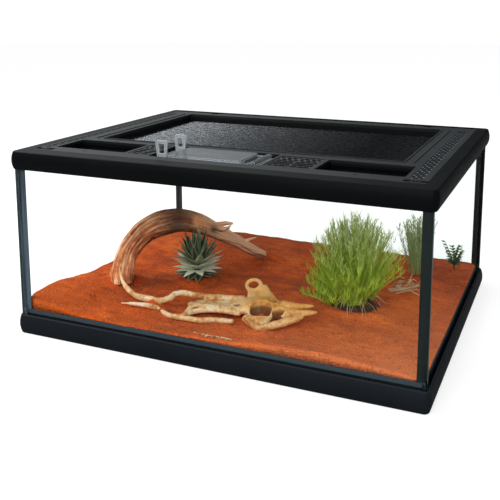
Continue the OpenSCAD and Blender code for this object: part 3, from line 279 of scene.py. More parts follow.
def plastic(name, colour, pale, dust_sheen_colour, roughness, gloss=0.18, painted_band=None, painted_band_colour=None,
            rub_and_highlight_share=0.6, glint_share=0.0):
    """Moulded plastic, which turns to a painted colour, for painted light or shade, between the two
    heights of a band.
    """
    finish = Finish(name, Specular_IOR_Level=gloss)
    cloud, speckle, scuff = finish.noise(9, 4), finish.noise(1400, 2), finish.noise(60, 4)
    up = finish.facing_up()
    base = finish.mix((cloud * 0.7 + speckle * 0.25).clamp(), colour, pale)
    # Level faces are painted paler: grey dust, and partly a painted sheen where the tops catch
    # light.
    dust_and_sheen = up ** 3 * (0.55 + 0.5 * cloud + 0.3 * (scuff - 0.5))
    base = finish.mix(dust_and_sheen.clamp(), base, dust_sheen_colour)
    # Paler edges: partly rubbed wear, partly a painted highlight where light catches the edge.
    rub_and_highlight = (finish.edges(PALE_EDGE_REACH, 3) * scuff * 1.3).clamp() * rub_and_highlight_share
    base = finish.mix(rub_and_highlight, base, [c * (0.7 + rub_and_highlight_share) + 30 * rub_and_highlight_share for c in dust_sheen_colour])
    # Rows of painted highlights on the vents' level faces, for the light caught by the ends of the
    # slots.
    if glint_share:
        wave = finish.node("VectorMath", {"operation": "SINE"}, {0: finish.stretch(*GLINT_WAVES)})
        painted_glints = (finish.axis(0, wave) * finish.axis(1, wave) * 3 - 1.5).clamp()
        base = finish.mix(painted_glints * glint_share * up, base, (160, 168, 172))
    if painted_band:
        share = (finish.axis(2) - painted_band[0]) / (painted_band[1] - painted_band[0])
        base = finish.mix(share.clamp(), base, painted_band_colour)
    finish.set("Base Color", base)
    finish.set("Roughness", (roughness - 0.07 + cloud * 0.12 + speckle * 0.05).clamp())
    return finish.relief((speckle, 0.00006), (finish.noise(260, 3), 0.00013))


frame_plastic = plastic("frame_plastic", (5, 6, 8), (10, 12, 15), (26, 29, 30), 0.5, 0.08)
# The blue-grey band at the top of the base's inner lip is a painted reflection of the glass edge
# and silicone.
base_plastic = plastic("base_plastic", (16, 19, 23), (30, 35, 40), (40, 44, 48), 0.48, 0.08,
                       painted_band=(0.0286, 0.0292), painted_band_colour=(64, 74, 83))
# Below the lid's top the plastic is painted near black: painted shade down in the wells and on the
# upright faces.
lid_plastic = plastic("lid_plastic", (17, 20, 21), (27, 31, 32), (54, 59, 61), 0.5,
                      painted_band=(0.2672, 0.2652), painted_band_colour=(3, 4, 5))
vent_plastic = plastic("vent_plastic", (12, 14, 16), (20, 23, 25), (40, 45, 49), 0.5, glint_share=0.45)
# The clamp's edges are painted much paler: a strong painted highlight along the window's edge, with
# some wear.
clamp_plastic = plastic("clamp_plastic", (14, 16, 17), (22, 25, 26), (44, 48, 50), 0.4, 0.3,
                        rub_and_highlight_share=1.6)
# The port covers are painted blacker than the frame: painted shade at the bottom of the wells.
blank_plastic_painted_shade = plastic("blank_plastic_painted_shade", (2, 3, 3), (4, 5, 5), (5, 6, 7), 0.85, 0.05)
lock_plastic = plastic("lock_plastic", (16, 19, 21), (28, 32, 34), (48, 52, 54), 0.4, 0.3)
print("made", len(bpy.data.materials), "finishes")

# %% [markdown]
# ## Glass
#
# Float glass is nearly invisible face on and mirrors a little at a glancing angle, while its cut
# edges look dark sea green. A true refracting shader would need thousands of light paths to light
# the sand behind it, so each pane is a mix of a see-through shader and a glossy one. The share of
# the glossy one grows towards glancing angles, and the normal of the face tells the big faces
# from the cut edges. The silicone of the corner joints has fine upright streaks, dark green on
# the right and paler blue-grey on the left.

# %% Glass and silicone finishes
def see_through(name, tint, factor, **constants):
    """A finish of which only the given share is solid."""
    finish = Finish(name, **constants)
    clear = finish.node("BsdfTransparent", {}, {"Color": tint})
    return finish.show(finish.blend(factor(finish), clear, finish.solid))


def pane(name, facing):
    """Glass whose big faces look along one axis, 0 to 2."""
    def solid(finish):
        edge = (1 - finish.axis(facing, finish.normal()).absolute()).clamp()
        glancing = finish.node("LayerWeight", {}, {"Blend": 0.5}, "Facing")
        smear = (finish.noise(14, 3) - 0.62).clamp()
        return (glancing ** 5 * 0.04 + edge * 0.97 + 0.006 + smear * 0.03).clamp()

    glass = see_through(name, (253, 255, 254), solid)
    streak = glass.noise(40, 3, glass.stretch(1, 1, 4))
    glass.set("Base Color", glass.mix(streak, (8, 30, 30), (26, 66, 62)))
    return glass.set("Roughness", streak * 0.03)


glass_front, glass_side = pane("glass_front", 1), pane("glass_side", 0)
glass_floor = pane("glass_floor", 2)

silicone = Finish("silicone")
drift = silicone.noise(24, 4, silicone.stretch(1, 1, 0.25))
thread = ((silicone.noise(330, 3, silicone.stretch(1, 1, 0.02)) - 0.5) * 3 + 0.45).clamp()
dark_side = silicone.mix((drift * 0.3 + thread * 0.8).clamp(), (1, 2, 3), (10, 32, 29))
# On the left the silicone is painted paler blue-grey: painted light, not a second colour of
# silicone.
painted_lit_side = silicone.mix(thread, (18, 26, 35), (88, 101, 116))
silicone.set("Base Color", silicone.mix((silicone.axis(0) * -5).clamp(), dark_side, painted_lit_side))
silicone.set("Roughness", 0.22 + drift * 0.25)
silicone.relief((silicone.noise(90, 3, silicone.stretch(1, 1, 0.3)), 0.0004))
print("glass and silicone are ready")

# %% [markdown]
# ## Clear mouldings and steel
#
# The hatch, its hinge bar and the catches are clear plastic that looks pale grey over the dark
# lid: it scatters a little and has fine scratches, and the light that every edge catches is a
# painted highlight. The catches stand upright in the light, so their greys are painted paler than
# the hatch's, as painted light. The pins and screws are steel with turning marks round them.

# %% Clear plastic and steel finishes
def clear_moulding(name, share, low, high):
    """Clear plastic, of which a share is seen as a grey between two colours."""
    def milky(finish):
        fresnel = finish.node("Fresnel", {}, {"IOR": 1.45})
        cloud, edge = finish.noise(55, 3), finish.edges(0.0016, 4)
        return (share + fresnel * 0.25 + edge * 0.5 + cloud * 0.14).clamp()

    clear = see_through(name, (214, 222, 226), milky, Specular_IOR_Level=0.14)
    scratch = clear.noise(420, 3, clear.stretch(1, 0.12, 1))
    # Pale edges are a painted highlight: painted light caught along every edge.
    bright = (clear.edges(0.0012, 4) * clear.noise(90, 3) * 1.9).clamp()
    grey = clear.mix(clear.noise(38, 4), low, high)
    clear.set("Base Color", clear.mix(bright, grey, (240, 244, 246)))
    clear.set("Roughness", 0.1 + scratch * 0.16)
    return clear.relief((scratch, 0.00005))


clear_plastic = clear_moulding("clear_plastic", 0.38, (92, 97, 100), (128, 133, 137))
# A paler copy of the clear plastic: the catches' lighter greys are painted light.
catch_plastic_painted_paler = clear_moulding("catch_plastic_painted_paler", 0.5, (140, 147, 152), (206, 212, 216))

steel = Finish("steel", Metallic=1.0)
turning = steel.noise(900, 2, steel.stretch(0.1, 1, 1))
steel.set("Base Color", steel.mix(turning, (96, 100, 104), (172, 176, 180)))
steel.set("Roughness", 0.24 + turning * 0.2)
steel.relief((turning, 0.00003))
print("clear plastic and steel are ready")

# %% Dress the CAD nodes
DRESS = {
    frame_plastic: ["top_frame"],
    base_plastic: ["base_frame"],
    lid_plastic: ["lid_frame"],
    vent_plastic: ["left_vent_strip", "right_vent_strip", "left_grille", "right_grille"],
    clamp_plastic: ["screen_clamp"],
    blank_plastic_painted_shade: ["left_port_cover", "right_port_cover"],
    lock_plastic: ["left_lid_lock", "right_lid_lock"],
    glass_front: ["front_pane", "back_pane"],
    glass_side: ["left_pane", "right_pane"],
    glass_floor: ["bottom_pane"],
    silicone: ["corner_seals", "floor_seal"],
    clear_plastic: ["hatch_door", "hatch_hinge_bar"],
    catch_plastic_painted_paler: ["front_catch", "back_catch"],
    steel: ["lid_hinge_pins", "hatch_hinge_pin", "catch_pins", "clamp_screws"],
}
for finish, names in DRESS.items():
    for name in names:
        node = nodes[name]
        node.data.materials.clear()
        node.data.materials.append(finish.material)
print("dressed", sum(len(names) for names in DRESS.values()), "nodes")

# %% [markdown]
# ## Stage and light
#
# The stage is a plain pale floor under soft light from three large lamps, as for a catalogue
# picture. The camera sees the floor and the world as white, and the floor still takes the tank's
# shadow. Mirrored in the plastic, the surroundings are bright above on the left and behind, and
# dim elsewhere. That keeps the frames' faces black and gives the lid's left side its sheen.

# %% Stage and light
def stage_finish():
    """Nearly white to the camera, half of it a lit face that takes shadow; grey to other rays."""
    finish = Finish("stage", Roughness=0.9, Base_Color=(142, 144, 146), Specular_IOR_Level=0.0)
    white = finish.node("Emission", {}, {"Color": (255, 255, 255), "Strength": 1.25})
    lit = finish.node("BsdfDiffuse", {}, {"Color": (255, 255, 255)})
    camera_ray = finish.node("LightPath", out="Is Camera Ray")
    return finish.show(finish.blend(camera_ray, finish.solid, finish.blend(0.5, lit, white)))


bpy.ops.mesh.primitive_circle_add(vertices=96, radius=9, fill_type="NGON",
                                  location=(0, 0, -0.0004))
floor = bpy.context.object
floor.name = "floor"
floor.data.materials.append(stage_finish().material)

AIM = Vector((0, 0, 0.1))
for side, place, size, power in (("left", (-1.5, -0.5, 1.7), 1.1, 33),
                                 ("front", (0.3, -2.3, 1.5), 1.5, 30),
                                 ("right", (1.9, -0.4, 1.2), 1.2, 2.5)):
    light = bpy.data.lights.new("lamp_" + side, "AREA")
    light.shape, light.size, light.energy = "SQUARE", size, power
    lamp = bpy.data.objects.new("lamp_" + side, light)
    lamp.location = place
    lamp.rotation_euler = (AIM - Vector(place)).to_track_quat("-Z", "Y").to_euler()
    bpy.context.collection.objects.link(lamp)


def studio(name):
    """White to the camera, and soft uneven light to everything else."""
    world = bpy.data.worlds.new(name)
    world.use_nodes = True
    sky = Tree(world.node_tree, "Generated")
    x, y, z = (sky.axis(i) for i in range(3))
    camera_ray, glossy_ray = (sky.node("LightPath", out="Is %s Ray" % kind)
                              for kind in ("Camera", "Glossy"))
    window = ((0 - x - 0.22) * 3.2).clamp() * (y * 2 + 0.6).clamp() * (z * 6).clamp()
    uneven = 0.72 * (1 - glossy_ray) + (0.03 + window * 0.9) * glossy_ray
    strength = uneven * (1 - camera_ray) + 1.06 * camera_ray
    light = sky.node("Background", {}, {"Color": (255, 255, 255), "Strength": strength})
    out = sky.tree.nodes.new("ShaderNodeOutputWorld")
    plug(sky.tree, out.inputs["Surface"], light)
    return world


bpy.context.scene.world = studio("studio")
print("stage is set")

# %% [markdown]
# ## Lines and tubes
#
# Wood, bone and roots all begin as a tube drawn along a smooth line. Blender's curves could do
# it, but plain lists of points leave room for ragged sections. One helper rounds off a list of
# points, and another sweeps an oval section along it.

# %% Lines and tubes
def smooth_line(points, steps):
    """A Catmull-Rom line through points of any number of values."""
    p = np.array(points, float)
    p = np.vstack([p[:1], p, p[-1:]])
    t = np.linspace(0, 1, steps, endpoint=False)[:, None]
    rows = []
    for a, b, c, d in zip(p, p[1:], p[2:], p[3:]):
        rows.append(0.5 * (2 * b + (c - a) * t + (2 * a - 5 * b + 4 * c - d) * t ** 2
                           + (3 * b - a - 3 * c + d) * t ** 3))
    return np.vstack(rows + [p[-1:]])


def unit(vectors):
    return vectors / np.maximum(np.linalg.norm(vectors, axis=-1, keepdims=True), 1e-9)


def frame_along(path, across):
    """For each point of a line: two directions square to the way it runs."""
    along = unit(np.gradient(path, axis=0))
    side = unit(np.cross(along, across))
    return side, np.cross(along, side)


def ring_faces(rings, sides):
    """The four-sided faces between rings of points."""
    i, k = np.meshgrid(np.arange(rings - 1), np.arange(sides), indexing="ij")
    a, b = i * sides + k, i * sides + (k + 1) % sides
    return np.stack([a, b, b + sides, a + sides], -1).reshape(-1, 4).tolist()


def tube(path, sides, flat=1.0, across=(0.01, 0.02, 1.0), shape=None):
    """Rings of an oval section along rows of x, y, z and radius, closed at both ends."""
    path = np.array(path, float)
    centre, radius = path[:, :3], path[:, 3]
    side, up = frame_along(centre, np.array(across, float))
    angle = np.linspace(0, 2 * np.pi, sides, endpoint=False)
    size = np.ones((len(path), sides)) if shape is None else shape(len(path), angle)
    ring = (side[:, None] * np.cos(angle)[None, :, None]
            + flat * up[:, None] * np.sin(angle)[None, :, None])
    points = centre[:, None] + ring * (radius[:, None] * size)[..., None]
    points = np.vstack([points.reshape(-1, 3), centre[:1], centre[-1:]])
    faces = ring_faces(len(path), sides)
    k = np.arange(sides)
    count = len(path) * sides
    last = count - sides
    faces += np.stack([(k + 1) % sides, k, 0 * k + count], -1).tolist()
    faces += np.stack([last + k, last + (k + 1) % sides, 0 * k + count + 1], -1).tolist()
    return points, faces


print("a line through three points has", len(smooth_line([(0, 0), (1, 1), (2, 0)], 4)), "rows")

# %% [markdown]
# ## Meshes that ride on a body
#
# Points and faces become a Blender mesh that stores values for its shader, gets a finish, rides
# on one of the part's bodies and stands for CAD nodes. A batch collects many small parts, such as
# leaves, so that they are one object and not hundreds. Lengths are given in millimetres, as on a
# drawing, and become metres only when the mesh is made.

# %% Mesh helpers
MM = 0.001


def joined(parts):
    """One list of points and one of faces from several."""
    points, faces, start = [], [], 0
    for some_points, some_faces in parts:
        points.append(some_points)
        faces += [[index + start for index in face] for face in some_faces]
        start += len(some_points)
    return np.vstack(points), faces


def mesh_object(name, points, faces):
    mesh = bpy.data.meshes.new(name)
    mesh.from_pydata((np.asarray(points) * MM).tolist(), [], faces)
    made = bpy.data.objects.new(name, mesh)
    bpy.context.collection.objects.link(made)
    return made


def dress(made, finish, body, stands_for, slot, **values):
    """Stores values at the points, gives the finish and lets the mesh ride on a body."""
    for key, numbers in values.items():
        made.data.attributes.new(key, "FLOAT", "POINT").data.foreach_set(
            "value", np.asarray(numbers, np.float32))
    made.data.polygons.foreach_set("use_smooth", [True] * len(made.data.polygons))
    made.data.materials.append(finish.material)
    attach(made, body)
    if stands_for:
        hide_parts(*stands_for)
    return made


def piece(name, mesh, *look, **values):
    return dress(mesh_object(name, *mesh), *look, **values)


class Batch:
    """Parts that become one mesh, with values for their points."""

    def __init__(self):
        self.parts, self.values = [], {}

    def add(self, points, faces, **values):
        self.parts.append((points, faces))
        for key, number in values.items():
            self.values.setdefault(key, []).append(np.broadcast_to(number, len(points)))

    def piece(self, name, *look):
        values = {key: np.concatenate(rows) for key, rows in self.values.items()}
        return piece(name, joined(self.parts), *look, **values)


print("two triangles joined have", len(joined([(np.eye(3), [[0, 1, 2]])] * 2)[0]), "points")

# %% [markdown]
# ## Rough surfaces
#
# Sand, wood and bone are never smooth. Blender's modifiers can fuse tubes into one skin, and its
# noise, read at each point, moves the points a little. These helpers apply a modifier for good,
# read and move the points of a mesh, and give the noise.

# %% Helpers for rough surfaces
def read_points(made, source="vertices", key="co", scale=1 / MM):
    """The points of a mesh object, in millimetres."""
    flat = np.empty(len(made.data.vertices) * 3, np.float32)
    getattr(made.data, source).foreach_get(key, flat)
    return flat.reshape(-1, 3).astype(float) * scale


def read_normals(made):
    return read_points(made, "vertex_normals", "vector", 1)


def move_points(made, points):
    made.data.vertices.foreach_set("co", (points * MM).astype(np.float32).ravel())
    made.data.update()


def modified(made, kind, **settings):
    """Adds a modifier and applies it to the mesh."""
    modifier = made.modifiers.new(kind.lower(), kind)
    for key, value in settings.items():
        setattr(modifier, key, value)
    bpy.context.view_layer.update()
    graph = bpy.context.evaluated_depsgraph_get()
    mesh = bpy.data.meshes.new_from_object(made.evaluated_get(graph))
    made.modifiers.clear()
    old, made.data = made.data, mesh
    bpy.data.meshes.remove(old)
    return made


def rough(points, scale, depth=2):
    """Smooth noise from -1 to 1 at each point, with waves of about the given size."""
    return np.array([noise.fractal(Vector(p), 0.8, 2.0, depth) for p in np.asarray(points) / scale])


print("noise at one point:", round(float(rough([(3, 4, 5)], 10)[0]), 2))

# %% [markdown]
# ## Woven screen
#
# The lid's window holds a black wire screen. The CAD model has only a few wide wires, enough to
# carry load and to show where the screen is. A real screen is woven much finer, so here each wire
# is a thin four-sided bar that waves over and under the ones it crosses, every 3.1 mm. Even that
# is coarser than the real weave, which glitters in slanted lines. Those lines are painted on the
# wires as two crossing waves, and they darken towards the right, as in the photograph.

# %% Screen wires
PITCH, HALF_WIRE, WAVE, INSET = 3.1, 0.5, 0.1, 0.5


def screen_wires():
    low, high = (corner * 1000 for corner in map(np.array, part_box("screen_long_wires")))
    xs, ys = (np.linspace(low[i] + INSET, high[i] - INSET,
                          round((high[i] - low[i] - 2 * INSET) / PITCH) + 1) for i in (0, 1))
    parts = []
    for lines, marks, along in ((ys, xs, 0), (xs, ys, 1)):
        off = np.zeros((4, 3))
        off[[0, 2], 1 - along] = HALF_WIRE, -HALF_WIRE
        off[[1, 3], 2] = HALF_WIRE, -HALF_WIRE
        for row, place in enumerate(lines):
            centre = np.empty((len(marks), 3))
            centre[:, along], centre[:, 1 - along] = marks, place
            centre[:, 2] = high[2] + WAVE * (1 - 2 * ((np.arange(len(marks)) + row + along) % 2))
            parts.append(((centre[:, None] + off).reshape(-1, 3), ring_faces(len(marks), 4)))
    return joined(parts)


screen_metal = Finish("screen_metal", Metallic=1.0)
across, back = screen_metal.axis(0), screen_metal.axis(1)
# The two slanted waves paint the glitter of the fine weave: painted highlights.
one, two = ((across * 1000 + back * slant).math("SINE") for slant in (270, -270))
painted_glitter = screen_metal.mix((one * 1.1 + two * 0.35 + 0.3).clamp(), (14, 15, 17), (130, 134, 138))
# Painted shade: towards the right the wires fade to near black, a painted falloff of the reflected
# light.
painted_fade = ((across + 0.17) * 3.2).clamp() * 0.88
screen_metal.set("Base Color", screen_metal.mix(painted_fade, painted_glitter, (14, 15, 17)))
screen_metal.set("Roughness", 0.24 + screen_metal.noise(70, 3) * 0.06)
screen_metal.relief((screen_metal.noise(900, 2), 0.00003))
screen = piece("woven_screen", screen_wires(), screen_metal, "lid",
               ["screen_long_wires", "screen_cross_wires"], "screen")
print("screen:", len(screen.data.polygons), "faces")

# %% [markdown]
# ## Sand bed
#
# The sand is one heap of heights over a fine grid, with the same dunes as the CAD model, so that
# everything still stands on it. To these come small things that a coarse solid leaves out: sand
# drifted against the bones and the roots, low ripples, pits, and clumps of grains three to five
# millimetres wide. Its colour runs from strong orange at the front left to pale at the front
# right and dark brown at the back.

# %% Height of the sand
SAND = 37.0
HALF = (288.7, 228.7)
# Level pads under things: x, y, radius and height
PADS = [(-214, -90, 22, 41), (-47, 92, 12, 43), (-113, -28, 22, 45), (152, -38, 34, 38),
        (208, 121, 16, 40), (259, 181, 12, 38), (212, 48, 34, 38), (-152, -140, 56, 37),
        (-70, -150, 50, 37), (20, -132, 66, 37), (90, -130, 44, 37)]
PAD_EDGE = 22
# Sand drifted over or against things: x, y, height and the two radii of each drift
DRIFTS = [(-121, -149, 10.5, 13, 10), (-95, -172, 9, 13, 8), (-236, -96, 7, 12, 14),
          (-206, -66, 5, 16, 12), (-40, 108, 6, 22, 12), (-66, 78, 4, 14, 10),
          (152, -76, 5, 40, 9), (118, -62, 4, 18, 14), (190, -66, 5, 18, 12),
          (-113, -62, 4, 34, 10), (-6, -178, 3, 30, 8), (76, -176, 3.5, 22, 8),
          (-60, -100, 3, 40, 12), (60, -92, 3, 24, 10), (208, 100, 4, 18, 8),
          (46, -141, 11, 10, 11)]


def hill(x, y, cx, cy, rx, ry):
    return np.exp(-((x - cx) / rx) ** 2 - ((y - cy) / ry) ** 2)


def sand_height(x, y):
    h = (SAND + 17 * hill(x, y, -289, -189, 75, 95) + 11 * hill(x, y, 150, -229, 120, 26)
         + 9 * hill(x, y, -130, 130, 130, 80)
         + np.sin(np.radians(3.1 * x + 1.7 * y)) * np.sin(np.radians(1.3 * x - 4.1 * y)))
    for px, py, radius, level in PADS:
        t = np.clip((np.hypot(x - px, y - py) - radius) / PAD_EDGE, 0, 1)
        h = level + (h - level) * t * t * (3 - 2 * t)
    for cx, cy, up, rx, ry in DRIFTS:
        h = h + up * hill(x, y, cx, cy, rx, ry)
    return h


print("sand beside the skull lies at", round(float(sand_height(0.0, -80.0)), 1), "mm")

# %% Sand mesh
GRID = (240, 190)
# Half width, half depth and height of each ring below the surface, round the bottom bead
SKIRT = ((288.7, 228.7, 35.3), (285.4, 225.4, 35.3), (285.4, 225.4, 20.3), (281.4, 221.4, 16.0))


def border(grid):
    """The outer rows of a grid in turn, as one loop."""
    return np.concatenate([grid[0, :-1], grid[:-1, -1], grid[-1, :0:-1], grid[:0:-1, 0]])


def sand_mesh():
    gx, gy = np.meshgrid(*(np.linspace(-half, half, count + 1) for half, count in zip(HALF, GRID)))
    corner = HALF[0] - np.abs(gx) + HALF[1] - np.abs(gy)
    pull = 3.6 * np.clip(1 - corner / 14, 0, 1)
    x, y = gx - np.sign(gx) * pull, gy - np.sign(gy) * pull
    flat = np.stack([x.ravel(), y.ravel(), 0 * x.ravel()], -1)
    large, small, clump = (rough(flat + shift, scale, depth).reshape(x.shape)
                           for shift, scale, depth in ((0, 38, 2), (91, 8.5, 3), (37, 4.2, 2)))
    lumpy = np.clip(0.35 + 0.8 * hill(x, y, 130, -170, 190, 70) + 0.3 * large, 0.15, 1)
    z = (sand_height(x, y) + 0.9 * large + 0.45 * small
         + 0.95 * lumpy * np.clip(clump, -0.25, 1))
    points = np.stack([x, y, z], -1)
    edge = border(points)
    index = np.arange(x.size).reshape(x.shape)
    faces = np.stack([index[:-1, :-1], index[:-1, 1:], index[1:, 1:], index[1:, :-1]],
                     -1).reshape(-1, 4).tolist()
    rings, above = [points.reshape(-1, 3)], border(index)
    for number, (half_x, half_y, level) in enumerate(SKIRT):
        rings.append(np.stack([edge[:, 0] * half_x / HALF[0], edge[:, 1] * half_y / HALF[1],
                               np.full(len(edge), level)], -1))
        below = x.size + number * len(edge) + np.arange(len(edge))
        faces += np.stack([above, below, np.roll(below, -1), np.roll(above, -1)], -1).tolist()
        above = below
    faces.append(above[::-1].tolist())
    return np.vstack(rings), faces


print("the sand is a grid of", GRID[0], "by", GRID[1], "cells")

# %% Sand finish
sand = Finish("sand", Roughness=0.96, Specular_IOR_Level=0.25)
dune, patch, grain = sand.noise(7, 4), sand.noise(32, 4), sand.noise(950, 2)
ripple = sand.noise(64, 3, sand.stretch(0.45, 1.5, 1))
across, back = sand.axis(0), sand.axis(1)
hue = sand.ramp((dune - 0.5) * 1.4 + (patch - 0.5) * 1.1 + (ripple - 0.5) * 0.8 + 0.5,
                (0.12, (92, 28, 3)), (0.36, (158, 54, 5)), (0.58, (202, 76, 8)),
                (0.85, (238, 112, 28)))
front_left = ((0 - back - 0.07) * 8).clamp() * (0.12 - across * 4).clamp() * 0.42
front_right = (across * 2.2 + 0.3).clamp() * (0.35 - back * 3.2).clamp() * 0.75
far = ((back - 0.01) * 4 + (patch - 0.5) * 0.8).clamp() * 0.42
for share, tint in ((front_left, (226, 100, 26)), (front_right, (246, 152, 104)),
                    (far, (88, 32, 8))):
    hue = sand.mix(share, hue, tint)
grains = sand.ramp(grain, (0.3, (108, 30, 2)), (0.5, (204, 76, 10)), (0.72, (248, 140, 66)))
dark = ((0.5 - sand.noise(520, 1)) * 5 - 0.45).clamp()
dark = (dark + ((0.44 - sand.noise(150, 2)) * 6).clamp() * 0.6).clamp() * 0.6
pale = ((sand.noise(610, 1) - 0.5) * 6 - 0.7).clamp() * 0.42
fine = sand.mix(dark, sand.mix(0.36, hue, grains), (70, 22, 8))
sand.set("Base Color", sand.mix(pale, fine, (248, 190, 146)))
sand.relief((sand.cells(330), 0.0011), (grain, 0.0007), (sand.noise(120, 3), 0.0012))
points, faces = sand_mesh()
piece("sand_surface", (points, faces), sand, "tank", ["sand_bed"], "sand")
print("sand:", len(points), "points, top at", round(points[:, 2].max(), 1), "mm")

# %% [markdown]
# ## Driftwood arch
#
# The branch is a weathered arch: a broad, deeply grooved limb with a split foot, a dark knot and
# a peeled splinter near its top, and a horn-like stub. Several tubes are fused by a voxel remesh,
# which rounds the places where they meet. Each point then gets its distance along the branch and
# its angle round it, and noise stretched along the branch gives the fibres, both in the mesh and
# in the colour.

# %% Wood limbs
WOOD_LINE = smooth_line([
    (-214, -90, 41.3, 17.5), (-214, -90, 47, 17), (-213, -88, 65, 15), (-206, -75, 95, 15),
    (-189, -56, 119, 16.5), (-162, -32, 129, 17.5), (-134, -8, 125, 15.5), (-108, 16, 109, 13.2),
    (-84, 44, 87, 10.4), (-62, 72, 63, 8.3), (-47, 92, 51.5, 6.2)], 10)


def ragged(rings, angle):
    """Lobes that wander round the limb, so that its section is never round."""
    row = np.arange(rings)[:, None]
    return 1 + 0.12 * np.sin(2 * angle + row * 0.05) + 0.07 * np.sin(5 * angle - row * 0.09)


# The splinters of the foot, the ridges and splinters near the top, and the horn-like stub
PRONGS = [
    [(-236, -95, 42.5, 2.5), (-230, -93, 54, 5), (-221, -88, 72, 7), (-209, -77, 96, 8),
     (-193, -60, 114, 8)],
    [(-196, -100, 42.3, 5.5), (-198, -98, 54, 7), (-202, -90, 72, 8), (-203, -78, 92, 8),
     (-194, -60, 110, 8)],
    [(-176, -50, 134, 4), (-160, -34, 143, 6), (-142, -18, 141, 6), (-124, -2, 132, 4)],
    [(-150, -20, 138, 6), (-132, -12, 134, 6.5), (-119, -6, 126, 5), (-110, -3, 119, 1.5)],
    [(-114, 8, 112, 8), (-98, 12, 113.5, 5.6), (-86, 15, 112.5, 4), (-78, 18, 116, 2.4),
     (-74, 19, 121, 0.8)],
    [(-114, 8, 112, 6), (-100, 20, 117, 4.4), (-86, 26, 119.5, 3), (-74, 24, 120.5, 1)],
    [(-90, 34, 101, 5), (-76, 50, 86, 5.5), (-60, 70, 68, 5), (-46, 88, 54, 3)],
    [(-70, 58, 80, 3.4), (-60, 64, 84, 2.4), (-52, 70, 87, 0.8)],
]
LIMB_ACROSS = np.array([0.7, -0.7, 0.0])


def wood_mesh():
    parts = [tube(WOOD_LINE, 40, across=LIMB_ACROSS, shape=ragged)]
    parts += [tube(smooth_line(prong, 6), 14, across=(0.3, 0.5, 0.8)) for prong in PRONGS]
    raw = mesh_object("driftwood_arch", *joined(parts))
    return modified(raw, "REMESH", mode="VOXEL", voxel_size=1.25 * MM)


def line_place(points, line):
    """For each point: its distance along the line, and its angle round it."""
    centre = line[:, :3]
    step = np.linalg.norm(np.diff(centre, axis=0), axis=1)
    length = np.concatenate([[0], np.cumsum(step)])
    nearest = np.argmin(((points[:, None, :] - centre[None]) ** 2).sum(-1), axis=1)
    along = unit(np.gradient(centre, axis=0))[nearest]
    off = points - centre[nearest]
    ahead = (off * along).sum(-1)
    off = off - ahead[:, None] * along
    side = unit(np.cross(along, LIMB_ACROSS))
    up = np.cross(along, side)
    angle = np.arctan2((off * up).sum(-1), (off * side).sum(-1))
    return length[nearest] + ahead, angle


wood = wood_mesh()
points = read_points(wood)
distance, angle = line_place(points, WOOD_LINE)
print("driftwood:", len(points), "points,", round(float(distance.max())), "mm long")

# %% Wood fibres
FOOT_LEVEL = 41.0  # the sand's pad under the split foot
KNOT, PEELED, PEELED_SIZE = (-100, 6, 112), (-116, -9, 129), (11, 10, 10)
DARK_AT, DARK_REACH = 142, 30  # along the branch
PALE_FROM, PALE_OVER = 168, 60


def fibres(distance, angle):
    """Ridges along the limb, from noise folded at zero, and how deep each point lies between."""
    twist = angle + distance * 0.006

    def stretched(pull):
        return np.stack([np.cos(twist) * 17, np.sin(twist) * 17, distance * pull], -1)

    broad, thin = rough(stretched(0.09), 6.5), rough(stretched(0.09) + 31, 2.3)
    pits = np.clip(rough(stretched(0.3) + 7, 5, 1) - 0.42, 0, 1)
    grooves = 1 - np.abs(broad) * 2.4
    return 1.35 * (0.5 - np.clip(grooves, 0, 1)) + 0.55 * thin - 3.4 * pits, grooves


lift, groove = fibres(distance, angle)
knot = np.exp(-np.sum((points - KNOT) ** 2, axis=1) / 60.0)
points = points + read_normals(wood) * (lift - 2.2 * knot)[:, None]
points[:, 2] = np.maximum(points[:, 2], FOOT_LEVEL)
move_points(wood, points)
burnt = np.exp(-((distance - DARK_AT) / DARK_REACH) ** 2) + knot
bleached = np.clip((distance - PALE_FROM) / PALE_OVER, 0, 1)
peeled = np.exp(-np.sum(((points - PEELED) / PEELED_SIZE) ** 4, axis=1))

timber = Finish("driftwood", Roughness=0.8)
turn = timber.stored("around")
strand = timber.node("CombineXYZ", {}, {0: turn.math("SINE", turn) * 0.016,
                                        1: turn.math("COSINE", turn) * 0.016,
                                        2: timber.stored("along") * 0.07})
streaks, hair = timber.noise(260, 4, strand), timber.noise(900, 3, strand)
brown = timber.ramp((streaks - 0.5) * 1.7 + (hair - 0.5) * 0.9 + (timber.noise(120) - 0.5) * 0.6
                    + 0.5, (0.08, (92, 36, 20)), (0.3, (182, 92, 52)), (0.54, (232, 146, 94)),
                    (0.82, (255, 216, 168)))
# Painted shade: faces that look down are painted dark brown, as in the shade under the arch.
below = (0 - timber.axis(2, timber.normal()) - 0.15) * 1.6
bare = timber.mix(hair, (222, 116, 66), (255, 196, 146))
# The first tint paints the grooves darker: painted shade in the creases.
for share, tint in (((timber.stored("groove") * 1.6 - 1.0).clamp() * 0.75, (70, 32, 22)),
                    # Painted paler towards the far end of the limb: painted light where the lamps
                    # leave it dim.
                    (timber.stored("bleached") * (0.45 + streaks * 0.8), (255, 204, 166)),
                    # Darker near the top of the arch and at the knot.
                    ((timber.stored("burnt") * (0.6 + streaks * 0.7)).clamp() * 0.85,
                     (50, 33, 29)),
                    (below.clamp() * 0.8, (54, 28, 18)),
                    ((timber.stored("peeled") * 1.3).clamp(), bare)):
    brown = timber.mix(share, brown, tint)
timber.set("Base Color", brown)
timber.set("Roughness", 0.62 + hair * 0.3)
timber.relief((streaks, 0.0022), (hair, 0.001), (timber.noise(1400, 2), 0.0003))
dress(wood, timber, "tank", ["driftwood"], "driftwood", groove=groove, burnt=burnt, peeled=peeled,
      along=distance * MM, around=angle, bleached=bleached)
print("driftwood is finished")

